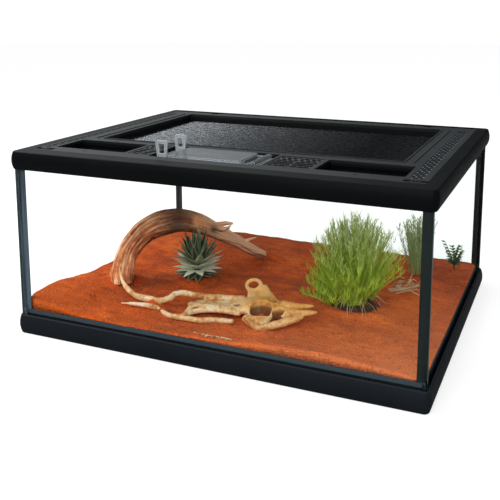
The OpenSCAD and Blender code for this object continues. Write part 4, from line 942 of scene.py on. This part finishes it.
# %% [markdown]
# ## Skull ornament
#
# The ornament is the bleached skull of a grazing animal, cast in resin. It is drawn as flattened
# tubes that follow the bones: the brain case, the brow plates, the muzzle, the cheek and the long
# prongs. The brow ring is a tube that closes on itself. The tubes are fused by a voxel remesh,
# the openings are cut with ovals, and a second remesh with a little smoothing rounds their edges,
# as in bone. Fine noise gives the pores and the worn surface.

# %% Skull bones
SKULL_AT = np.array([-40.0, -140.0, 37.2])
BONES = [  # sides, flatness and points of x, y, z and radius
    (20, 0.42, [(30, 6, 12, 9), (56, 12, 13, 22), (80, 16, 13, 30), (100, 14, 12.6, 25),
                (116, 10, 12, 15), (130, 8, 12, 9)]),
    (16, 0.4, [(84, 18, 14, 20), (78, 34, 18, 16), (72, 46, 24, 9), (67, 54, 31, 5)]),
    (16, 0.42, [(70, 26, 15, 15), (60, 35, 19, 12), (52, 41, 24, 7), (47, 43, 26, 4)]),
    (10, 1, [(52 + 11 * math.cos(a), 50 + 6.8 * math.sin(a), 30 + 5.6 * math.sin(a), 3.0)
             for a in np.linspace(0, 2 * math.pi, 13)]),
    (14, 0.45, [(-18, 2, 11.5, 4.5), (2, 4, 12.5, 7.5), (26, 6, 13, 9), (56, 10, 13, 12)]),
    (14, 0.5, [(86, -6, 10, 18), (92, -22, 8, 13), (94, -34, 5, 7), (94, -40, 4, 3.6)]),
    (12, 1, [(68, -18, 8, 6), (94, -35, 5.2, 5), (112, -24, 7, 5.5), (126, -11, 9.5, 6),
             (136, 0, 12, 6), (143, 8, 13, 4)]),
    (14, 0.5, [(-26, -7, 10, 5), (0, -8, 11.5, 9), (30, -7, 12.6, 10.5), (60, 4, 13, 14)]),
    (12, 1, [(-74, -10, 6, 5.2), (-61, -1, 10.5, 4.6), (-57, 9, 14, 4.6), (-46, 14, 16, 4.6),
             (-25, 13, 16, 4.4), (14, 16, 16, 5.6), (50, 20, 15, 9)]),
    (12, 1, [(-16, -36, 5, 3.6), (-6, -23, 8, 4), (10, -16, 10, 4.2), (32, -14, 11, 4),
             (58, -11, 11, 5)]),
    (12, 1, [(-127, -30, 3.6, 1.2), (-100, -26, 4.4, 3.2), (-80, -25, 4.6, 4),
             (-66, -28, 4.6, 4.2), (-43, -41, 4, 3.6), (-28, -45, 4.4, 4),
             (-17, -40, 5.2, 4.2), (-16, -28, 6.8, 4.4), (-18, -14, 9, 5), (-20, -6, 10, 5)]),
    (12, 1, [(-28, -45, 4.4, 3.8), (0, -44, 4.5, 4.2), (16, -41, 4.6, 4.2), (28, -35, 5, 4),
             (56, -30, 5.4, 3.6)]),
    (12, 1, [(-74, -10, 6, 5.2), (-88, -6, 6, 5.2), (-112, -3, 5.6, 4.8), (-129, 2, 9, 4.2),
             (-149, 12, 18, 3.2), (-162, 22, 39, 1)]),
    (12, 1, [(108, 20, 17, 9), (126, 23, 18.5, 5.5), (142, 27, 20, 3.6), (153, 30, 21, 1.4)]),
    (12, 1, [(108, 5, 13, 10), (130, 9, 14, 6.5), (148, 14, 16, 4.4), (161, 18, 18, 1.6)]),
]
# The openings: x, y, two radii and a turn in degrees
HOLES = [(86, -3, 15, 17, 0), (111, 0, 9, 5, 35), (95, 21, 6, 6, -30), (49, -2, 4.5, 4.5, 0)]


def skull_mesh():
    bones = [tube(smooth_line(path, 6), sides, flat) for sides, flat, path in BONES]
    skull = mesh_object("skull", *joined(bones))
    modified(skull, "REMESH", mode="VOXEL", voxel_size=1.2 * MM)
    for x, y, rx, ry, degrees in HOLES:
        bpy.ops.mesh.primitive_cylinder_add(vertices=32, radius=MM, depth=0.1,
                                            location=(x * MM, y * MM, 0.02))
        cutter = bpy.context.object
        cutter.scale, cutter.rotation_euler = (rx, ry, 1), (0, 0, math.radians(degrees))
        modified(skull, "BOOLEAN", operation="DIFFERENCE", solver="EXACT", object=cutter)
        bpy.data.objects.remove(cutter)
    modified(skull, "REMESH", mode="VOXEL", voxel_size=1.0 * MM)
    return modified(skull, "SMOOTH", factor=0.5, iterations=7)


skull = skull_mesh()
print("skull:", len(skull.data.vertices), "points")

# %% Bone surface
def in_holes(x, y):
    """1 inside the openings and on their walls."""
    cavity = np.zeros(len(x))
    for cx, cy, rx, ry, degrees in HOLES:
        c, s = math.cos(math.radians(degrees)), math.sin(math.radians(degrees))
        u, v = x - cx, y - cy
        cavity = np.maximum(cavity, np.hypot((u * c + v * s) / rx, (v * c - u * s) / ry) < 1.06)
    return cavity


points, normals = read_points(skull), read_normals(skull)
x, y, z = points.T
seam_y = -8.5 + 1.1 * np.sin(x * 1.5) + 0.6 * np.sin(x * 3.4)
seam = np.exp(-((y - seam_y) / 0.8) ** 2) * (np.abs(x - 8) < 32) * (normals[:, 2] > 0.2)
# Painted shade: the walls of the openings are painted dark red-brown, like shaded sand.
cavity = in_holes(x, y) * np.clip((19 - z) / 5, 0, 1)
grow = 0.55 * rough(points + 50, 15, 3) + 0.22 * rough(points, 3.2) - 0.9 * seam
points = points + normals * grow[:, None]
under = np.clip(1 - points[:, 2] / 13, 0, 1)
move_points(skull, points + SKULL_AT)

bone = Finish("bone")
blotch, vein = bone.noise(26, 4), bone.noise(210, 4)
amber = ((bone.axis(2) - 0.058) * 60 + (blotch - 0.5) * 2.4
         + ((bone.axis(0) + 0.01) * 22).clamp() * 0.9).clamp()
tone = bone.ramp((blotch - 0.5) * 1.6 + (vein - 0.5) * 0.7 + 0.5, (0.18, (176, 98, 44)),
                 (0.38, (220, 160, 98)), (0.56, (242, 204, 156)), (0.84, (255, 238, 212)))
for share, tint in ((amber * (0.45 + vein * 0.5), (240, 166, 64)),
                    # Painted shade: the bone is painted browner low down, near the sand.
                    ((bone.stored("under") * 1.2 - 0.15).clamp() * 0.45, (158, 96, 50)),
                    (bone.stored("seam").clamp() * 0.85, (84, 52, 30)),
                    # Painted shade: hollows are painted brown.
                    (((0.495 - bone.convexity()) * 14).clamp() * 0.6, (132, 78, 40)),
                    # The painted shade inside the openings.
                    (bone.stored("cavity").clamp() * 0.8, (112, 54, 30))):
    tone = bone.mix(share, tone, tint)
bone.set("Base Color", tone)
bone.set("Roughness", 0.36 + vein * 0.3)
bone.relief((vein, 0.0006), (bone.noise(700, 3), 0.0002))
dress(skull, bone, "tank", ["skull_ornament"], "bone", seam=seam, under=under, cavity=cavity)
print("skull is finished")

# %% [markdown]
# ## Rosette plant
#
# The plant under the arch has stiff pointed leaves in whorls, like a small agave. Each leaf is a
# curved blade with a channel along its upper face and a sharp tip, made as a grid of points: it
# is widest in its lower half and narrows to the point, and its rise changes from base to tip. One
# leaf function with chosen whorls is enough, because each leaf gets its own length, turn and
# colour value.

# %% One leaf
def blade(length, width, rise0, rise1, thick, steps=12, sides=10, sway=0.0):
    """A pointed leaf along +X that starts at one rise and ends at another, in degrees.

    Gives points and faces, and for each point how near it is to the tip and to the rim."""
    t = np.linspace(0, 1, steps + 1)
    rise = np.radians(rise0 + (rise1 - rise0) * t)
    x, z = (np.concatenate([[0], np.cumsum(way(rise[:-1]))]) * length / steps
            for way in (np.cos, np.sin))
    half = width / 2 * (0.2 * (1 - t) + 0.9 * np.sin(np.pi * (1 - t) ** 1.2) ** 0.85)
    half[-1] = 0.15
    a = np.linspace(0, 2 * np.pi, sides, endpoint=False)
    u = np.cos(a)
    v = np.sin(a) * thick / width - 0.16 * (1 - u ** 2) + 0.14
    points = np.empty((steps + 1, sides, 3))
    lift = half[:, None] * v[None]
    points[..., 0] = x[:, None] - np.sin(rise)[:, None] * lift
    points[..., 1] = half[:, None] * u[None] + sway * (t ** 2)[:, None]
    points[..., 2] = z[:, None] + np.cos(rise)[:, None] * lift
    faces = ring_faces(steps + 1, sides)
    faces.append(list(range(sides))[::-1])
    faces.append(list(range(steps * sides, (steps + 1) * sides)))
    return points.reshape(-1, 3), faces, np.repeat(t, sides), np.tile(np.abs(u) ** 3, steps + 1)


def turned(points, degrees, place):
    c, s = math.cos(math.radians(degrees)), math.sin(math.radians(degrees))
    x, y, z = points.T
    return np.stack([x * c - y * s, x * s + y * c, z], -1) + place


print("one leaf has", len(blade(36, 13, 6, -10, 2)[0]), "points")

# %% Rosette
chance = np.random.default_rng(7)  # seeded, so that each run draws the same plants


def rosette(whorls, place):
    """Whorls of leaves, each leaf a little different."""
    leaves = Batch()
    for count, turn, start, height, length, width, rise0, rise1, tone in whorls:
        for i in range(count):
            jitter = chance.uniform(-1, 1, 5)
            points, faces, tip, rim = blade(
                length * (1 + 0.07 * jitter[0]), width * (1 + 0.08 * jitter[1]),
                rise0 + 5 * jitter[2], rise1 + 12 * jitter[3], width * 0.17, sway=2.2 * jitter[4])
            spin = turn + (i + 0.18 * jitter[2]) * 360 / count
            leaves.add(turned(points + (start, 0, height), spin, place), faces, tip=tip, rim=rim,
                       tone=tone + 0.12 * jitter[0])
    return leaves


def leaf_finish(name, dark, green, pale, rim_colour, rim_share):
    leaf = Finish(name, Specular_IOR_Level=0.4)
    cloud, line = leaf.noise(160, 3), leaf.noise(620, 2, leaf.stretch(1, 1, 0.25))
    tone, tip, rim = leaf.stored("tone"), leaf.stored("tip"), leaf.stored("rim")
    colour = leaf.mix((tone + (cloud - 0.5) * 0.7 + (line - 0.5) * 0.5).clamp(), dark, green)
    for share, tint in ((((tone - 0.5) * 1.6 + (cloud - 0.5) * 0.5).clamp(), pale),
                        ((rim * rim_share).clamp(), rim_colour),
                        (((tip - 0.86) * 5).clamp() * 0.7, (124, 84, 60)),
                        ((0.16 - tip).clamp() * 3.5, [c * 0.35 for c in dark])):
        colour = leaf.mix(share, colour, tint)
    leaf.set("Base Color", colour)
    leaf.set("Roughness", 0.4 + cloud * 0.25)
    return leaf.relief((line, 0.0004), (cloud, 0.0005))


agave = leaf_finish("agave", (30, 44, 30), (80, 106, 70), (236, 234, 212), (190, 204, 166), 0.6)
# Count, turn, start radius, height, length, width, rise at both ends and tone of each whorl
ROSETTE = [
    (12, 4, 4, 4, 36, 13, 6, -10, 0.0), (10, 18, 4, 8, 38, 13, 14, -2, 0.95),
    (9, 6, 4, 13, 41, 14, 30, 14, 0.98), (10, 20, 3, 16, 47, 14, 42, 32, 0.62),
    (9, 8, 2, 17, 54, 12, 54, 48, 0.26), (8, 30, 2, 18, 58, 11, 66, 64, 0.3),
    (5, 14, 1, 19, 58, 10, 80, 78, 0.5),
]
leaves = rosette(ROSETTE, (-113, -28, 45.2))
leaves.piece("agave_leaves", agave, "tank", ["succulent"], "leaf_grey")
print("rosette:", len(leaves.parts), "leaves")

# %% [markdown]
# ## Grass tufts
#
# The big tuft is a dome of feathery stems over a lower skirt, and a paler narrow tuft stands
# behind it. Real stems carry dozens of hair-fine side blades each, and from a step away only
# their direction and colour can be seen. So each stem is a thin curved strip, and its needles are
# narrower strips with a fold along the middle, all in one mesh. The needles turn up towards the
# light, dark at the root and pale only near the top of the tuft, and dry blades stick out of a
# brown root ball.

# %% Grass mesh
ROOT = np.array([152.0, -38.0, 38.2])  # the middle of the root ball, on the sand
GOLDEN = 137.508  # degrees from one stem to the next
UP = np.array([0, 0, 1])


def outward(angle):
    return np.array([math.cos(angle), math.sin(angle), 0])


def strip(path, widths):
    """A folded strip along points, three points wide."""
    path = np.array(path, float)
    side, up = frame_along(path, chance.normal(size=3))
    w = np.array(widths)[:, None]
    rows = np.stack([path - side * w + up * w * 0.4, path, path + side * w + up * w * 0.4], 1)
    i = np.arange(len(path) - 1) * 3
    faces = np.concatenate([np.stack([i + k, i + k + 1, i + k + 4, i + k + 3], -1)
                            for k in (0, 1)])
    return rows.reshape(-1, 3), faces.tolist()


def tuft(place, stems, height, root, reach, needles, needle, share_low):
    """Stems that lean out from a foot of the given radius, and needles along each."""
    blades = Batch()
    for i in range(stems):
        share = (i + 0.5) / stems
        out = outward(math.radians(i * GOLDEN + chance.uniform(-14, 14)))
        tall = height * (1 - share_low * share ** 2.4) * chance.uniform(0.82, 1.0)
        lean = reach * share ** 0.8 * chance.uniform(0.75, 1.0)
        foot = np.array(place) + out * root * math.sqrt(share) * 0.85 + UP * 4
        t = np.linspace(0, 1, 7)[:, None]
        stem = foot + out * lean * (t ** 1.35) + UP * tall * (t ** 0.92)
        stem = stem + np.cumsum(chance.normal(size=(7, 3)) * (0.9, 0.9, 0), axis=0)
        tone = np.clip(0.5 + 0.25 * chance.normal() + 0.2 * (out[0] - out[1]), 0, 1)
        blades.add(*strip(stem, np.linspace(0.8, 0.25, 7)),
                   tip=np.repeat(np.linspace(0.1, 0.85, 7), 3), tone=tone)
        for j in range(needles):
            u = 0.12 + 0.86 * (j + chance.uniform()) / needles
            k = min(int(u * 6), 5)
            base = stem[k] + (stem[k + 1] - stem[k]) * (u * 6 - k)
            way = unit(out * chance.uniform(-0.25, 0.75)
                       + chance.normal(size=3) * (0.5, 0.5, 0.12) + UP * chance.uniform(0.7, 1.5))
            long = needle * chance.uniform(0.55, 1.0) * (1.05 - 0.45 * u)
            path = [base, base + way * long * 0.5, base + way * long * 0.95 + UP * long * 0.22]
            tip = np.repeat([0.15 + 0.55 * u, 0.3 + 0.6 * u, 0.45 + 0.6 * u], 3)
            blades.add(*strip(path, (0.55, 0.45, 0.1)), tip=tip,
                       tone=np.clip(tone + 0.14 * chance.normal(), 0, 1))
    return blades


print("each stem turns", GOLDEN, "degrees from the one before")

# %% Grass finish and tufts
def grass_finish(name, low, dull, bright, tip_colour):
    grass = Finish(name, Specular_IOR_Level=0.3)
    tone, tip, cloud = grass.stored("tone"), grass.stored("tip"), grass.noise(55, 3)
    line = grass.noise(1100, 2, grass.stretch(1, 1, 0.15))
    share = (tone * 0.8 + (cloud - 0.5) * 1.1 + (line - 0.5) * 0.4 + 0.1).clamp()
    colour = grass.mix(((0.32 - tip) * 2.4).clamp(), grass.mix(share, dull, bright), low)
    share = ((tip - 0.45) * 2).clamp() * ((grass.axis(2) - 0.1) * 15).clamp() * 0.85
    grass.set("Base Color", grass.mix(share, colour, tip_colour))
    return grass.set("Roughness", 0.5 + cloud * 0.2)


grass = grass_finish("grass", (66, 96, 20), (136, 168, 52), (196, 222, 82), (240, 248, 192))
sage = grass_finish("sage", (96, 124, 70), (158, 184, 130), (186, 210, 138), (232, 238, 208))
for name, finish, node, *shape in (
        ("grass_dome", grass, "grass_tuft", (150, -38, 38.2), 210, 134, 27, 60, 42, 18, 0.6),
        ("grass_skirt", grass, "grass_tuft", (130, -46, 38.2), 110, 66, 24, 42, 34, 17, 0.7),
        ("rear_spikes", sage, "rear_tuft", (208, 121, 40.2), 48, 98, 12, 24, 36, 15, 0.15)):
    tuft(*shape).piece(name, finish, "tank", [node], "grass_green")
print("the tufts stand")

# %% [markdown]
# ## Roots, dry blades and twigs
#
# The tuft grows from a dark fibrous root ball with a few bleached blades hanging out of it, dry
# twigs lie behind it, and short dry stems lie along the front pane. They are tubes and strips
# again. What makes them look real is that no two bend alike, so their points are drawn from a
# seeded generator, which gives the same twigs on every run.

# %% Root ball and dry blades
def straw_finish(name, dark, light):
    straw = Finish(name)
    cloud, line = straw.noise(60, 3), straw.noise(1300, 2, straw.stretch(0.4, 0.4, 1))
    straw.set("Base Color", straw.mix((cloud * 0.8 + line * 0.4 - 0.1).clamp(), dark, light))
    straw.set("Roughness", 0.55 + line * 0.3)
    return straw.relief((line, 0.0003))


def root_ball(centre, radius, height, count):
    """A lumpy mound and fine roots that creep out of it."""
    levels = zip(np.linspace(0, 1, 9), (1.1, 1.12, 1.05, 0.98, 0.9, 0.82, 0.7, 0.5, 0.1))
    rings = [(centre[0] + 0.001 * level, centre[1], centre[2] + height * level, radius * size)
             for level, size in levels]
    points, faces = tube(rings, 48, across=(1, 0, 0))
    points += unit(points - centre) * (2.4 * rough(points, 6, 3))[:, None]
    parts = [(points, faces)]
    for _ in range(count):
        out = outward(chance.uniform(0, 2 * np.pi))
        reach = radius * chance.uniform(1.15, 1.5)
        highs = (height * chance.uniform(0.4, 1.0), height * chance.uniform(0.2, 0.7), 1.5)
        path = [(*(centre + out * far + UP * high), thick) for far, high, thick
                in zip((radius * 0.6, radius * 1.05, reach), highs, (1.3, 1.1, 0.5))]
        parts.append(tube(smooth_line(path, 4), 5, across=(0.1, 0.2, 1)))
    return joined(parts)


def dry_blades(centre, radius, count, length):
    """Bleached blades that arch out of the foot of a plant and lie down on the sand."""
    parts = []
    t = np.linspace(0, 1, 9)[:, None]
    for _ in range(count):
        out = outward(chance.uniform(-2.6, 0.6))
        side = np.array([-out[1], out[0], 0]) * chance.uniform(-0.8, 0.8)
        long = length * chance.uniform(0.6, 1.0)
        start = centre + out * radius * 0.75 + UP * chance.uniform(10, 18)
        path = start + (out * 0.62 + side) * long * t + UP * long * (0.5 * t - 0.95 * t ** 2)
        path[:, 2] = np.maximum(path[:, 2], 39.5)
        parts.append(strip(path, np.linspace(0.9, 0.2, 9)))
    return joined(parts)


root = straw_finish("root_fibre", (40, 26, 26), (104, 76, 66))
straw = straw_finish("dry_straw", (164, 130, 88), (234, 216, 176))
piece("grass_root", root_ball(ROOT, 25, 15, 46), root, "tank", ["grass_tuft"], "twig")
piece("dry_blades", dry_blades(ROOT, 26, 22, 40), straw, "tank", ["grass_tuft"], "twig")
print("roots and dry blades are in place")

# %% Twigs and scraps
TWIGS = [
    [(182, 42, 39.8, 1.6), (200, 48, 40.5, 1.5), (218, 51, 45, 1.3), (238, 56, 54, 0.6)],
    [(200, 48, 40.2, 1.4), (208, 58, 46, 1.2), (212, 70, 60, 0.5)],
    [(190, 58, 39.8, 1.5), (210, 50, 41.2, 1.4), (232, 34, 39.6, 0.8)],
    [(186, 34, 39.6, 1.0), (206, 40, 44, 0.9), (224, 62, 48, 0.5)],
    [(196, 30, 39.6, 0.9), (214, 44, 42, 0.8), (236, 46, 47, 0.4)],
    [(216, 50, 44, 0.9), (226, 46, 53, 0.6), (230, 40, 60, 0.3)],
    [(190, 62, 39.6, 0.8), (206, 64, 43, 0.7), (226, 72, 41, 0.4)],
]


def twig_mesh():
    parts = []
    for line in TWIGS:
        path = smooth_line(line, 7)
        path[1:-1, :3] += chance.normal(size=(len(path) - 2, 3)) * 0.35
        parts.append(tube(path, 8, across=(0.1, 0.3, 1)))
    return joined(parts)


def edge_litter():
    """Small dry stems that lie on the sand along the front pane."""
    parts = []
    for _ in range(46):
        x = chance.normal(14, 16)
        a, long = chance.uniform(-0.5, 0.5), chance.uniform(4, 10)
        path = [(x, -221.5 + chance.uniform(-1.5, 6), 39.6),
                (x + long * math.cos(a) * 0.5, -220, 41.4),
                (x + long * math.cos(a), -219 + long * math.sin(a) * 0.4, 40)]
        parts.append(strip(smooth_line(path, 3), np.linspace(0.8, 0.3, 7)))
    return joined(parts)


piece("dry_twigs_fine", twig_mesh(), straw, "tank", ["dry_twigs"], "twig")
scraps = dry_blades(np.array([206.0, 62.0, 36.0]), 6, 16, 34)
piece("straw_scraps", scraps, straw, "tank", ["dry_twigs"], "twig")
piece("edge_litter", edge_litter(), straw, "tank", ["dry_twigs"], "twig")
print("twigs:", len(TWIGS), "and scraps of straw")

# %% [markdown]
# ## Feet of the corner joints
#
# In a glued tank the silicone runs out of the foot of each corner joint in a small lump, which
# also hides the ends of the panes. Four short lumpy tubes stand for it, just above the base
# frame.

# %% Corner feet
FOOT_RADII = (2.6, 3.1, 3.3, 3.2, 3.3, 3.0, 2.7, 2.2, 1.2)
feet = []
for side_x in (-1, 1):
    for side_y in (-1, 1):
        rings = [(side_x * (290.6 + 0.001 * k), side_y * 230.6, 25 + 1.6 * k, radius)
                 for k, radius in enumerate(FOOT_RADII)]
        points, faces = tube(rings, 20, across=(1, 0, 0))
        bumps = 0.2 * rough(points, 3)[:, None]
        feet.append((points + unit(points - (0, 0, 32)) * bumps, faces))
piece("corner_feet", joined(feet), silicone, "tank", (), "silicone")
print("corner feet:", len(feet))

# %% [markdown]
# ## Leafy sprig
#
# A small sprig with paired dark leaves stands in the back right corner. Its leaves are the same
# blades as the rosette's, only shorter and softer, set in pairs along a few curved stems.

# %% Sprig
# Heading in degrees, height and lean of each stem
SPRIG = [(200, 46, 16), (300, 42, 15), (60, 36, 9), (120, 34, 10), (250, 34, 17), (10, 30, 9)]


def sprig(centre):
    """Curved stems with pairs of leaves that get smaller towards the top."""
    leaves = Batch()
    t = np.linspace(0, 1, 9)
    for heading, tall, lean in SPRIG:
        line = centre + outward(math.radians(heading)) * (lean * t ** 1.4)[:, None]
        stem = np.column_stack([line[:, :2], centre[2] + tall * t, 1.1 - 0.7 * t])
        leaves.add(*tube(stem, 6, across=(0.3, 1, 0.1)), tip=0.3, rim=0.0, tone=0.3)
        for k in range(2, 9):
            for side in (-1, 1):
                points, faces, tip, rim = blade(14 - 0.6 * k, 6.4 - 0.3 * k, 30, -12, 0.5, 6, 8)
                spin = heading + side * (72 - 5 * k) + chance.uniform(-9, 9)
                leaves.add(turned(points, spin, stem[k, :3]), faces, tip=tip, rim=rim,
                           tone=chance.uniform(0.2, 0.7))
    return leaves


fern = leaf_finish("fern_leaf", (34, 62, 24), (82, 128, 44), (146, 178, 88), (128, 164, 76), 0.3)
made = sprig((259, 181, 38.2)).piece("leafy_sprig", fern, "tank", ["leafy_plant"], "grass_green")
print("sprig:", len(made.data.polygons), "faces")
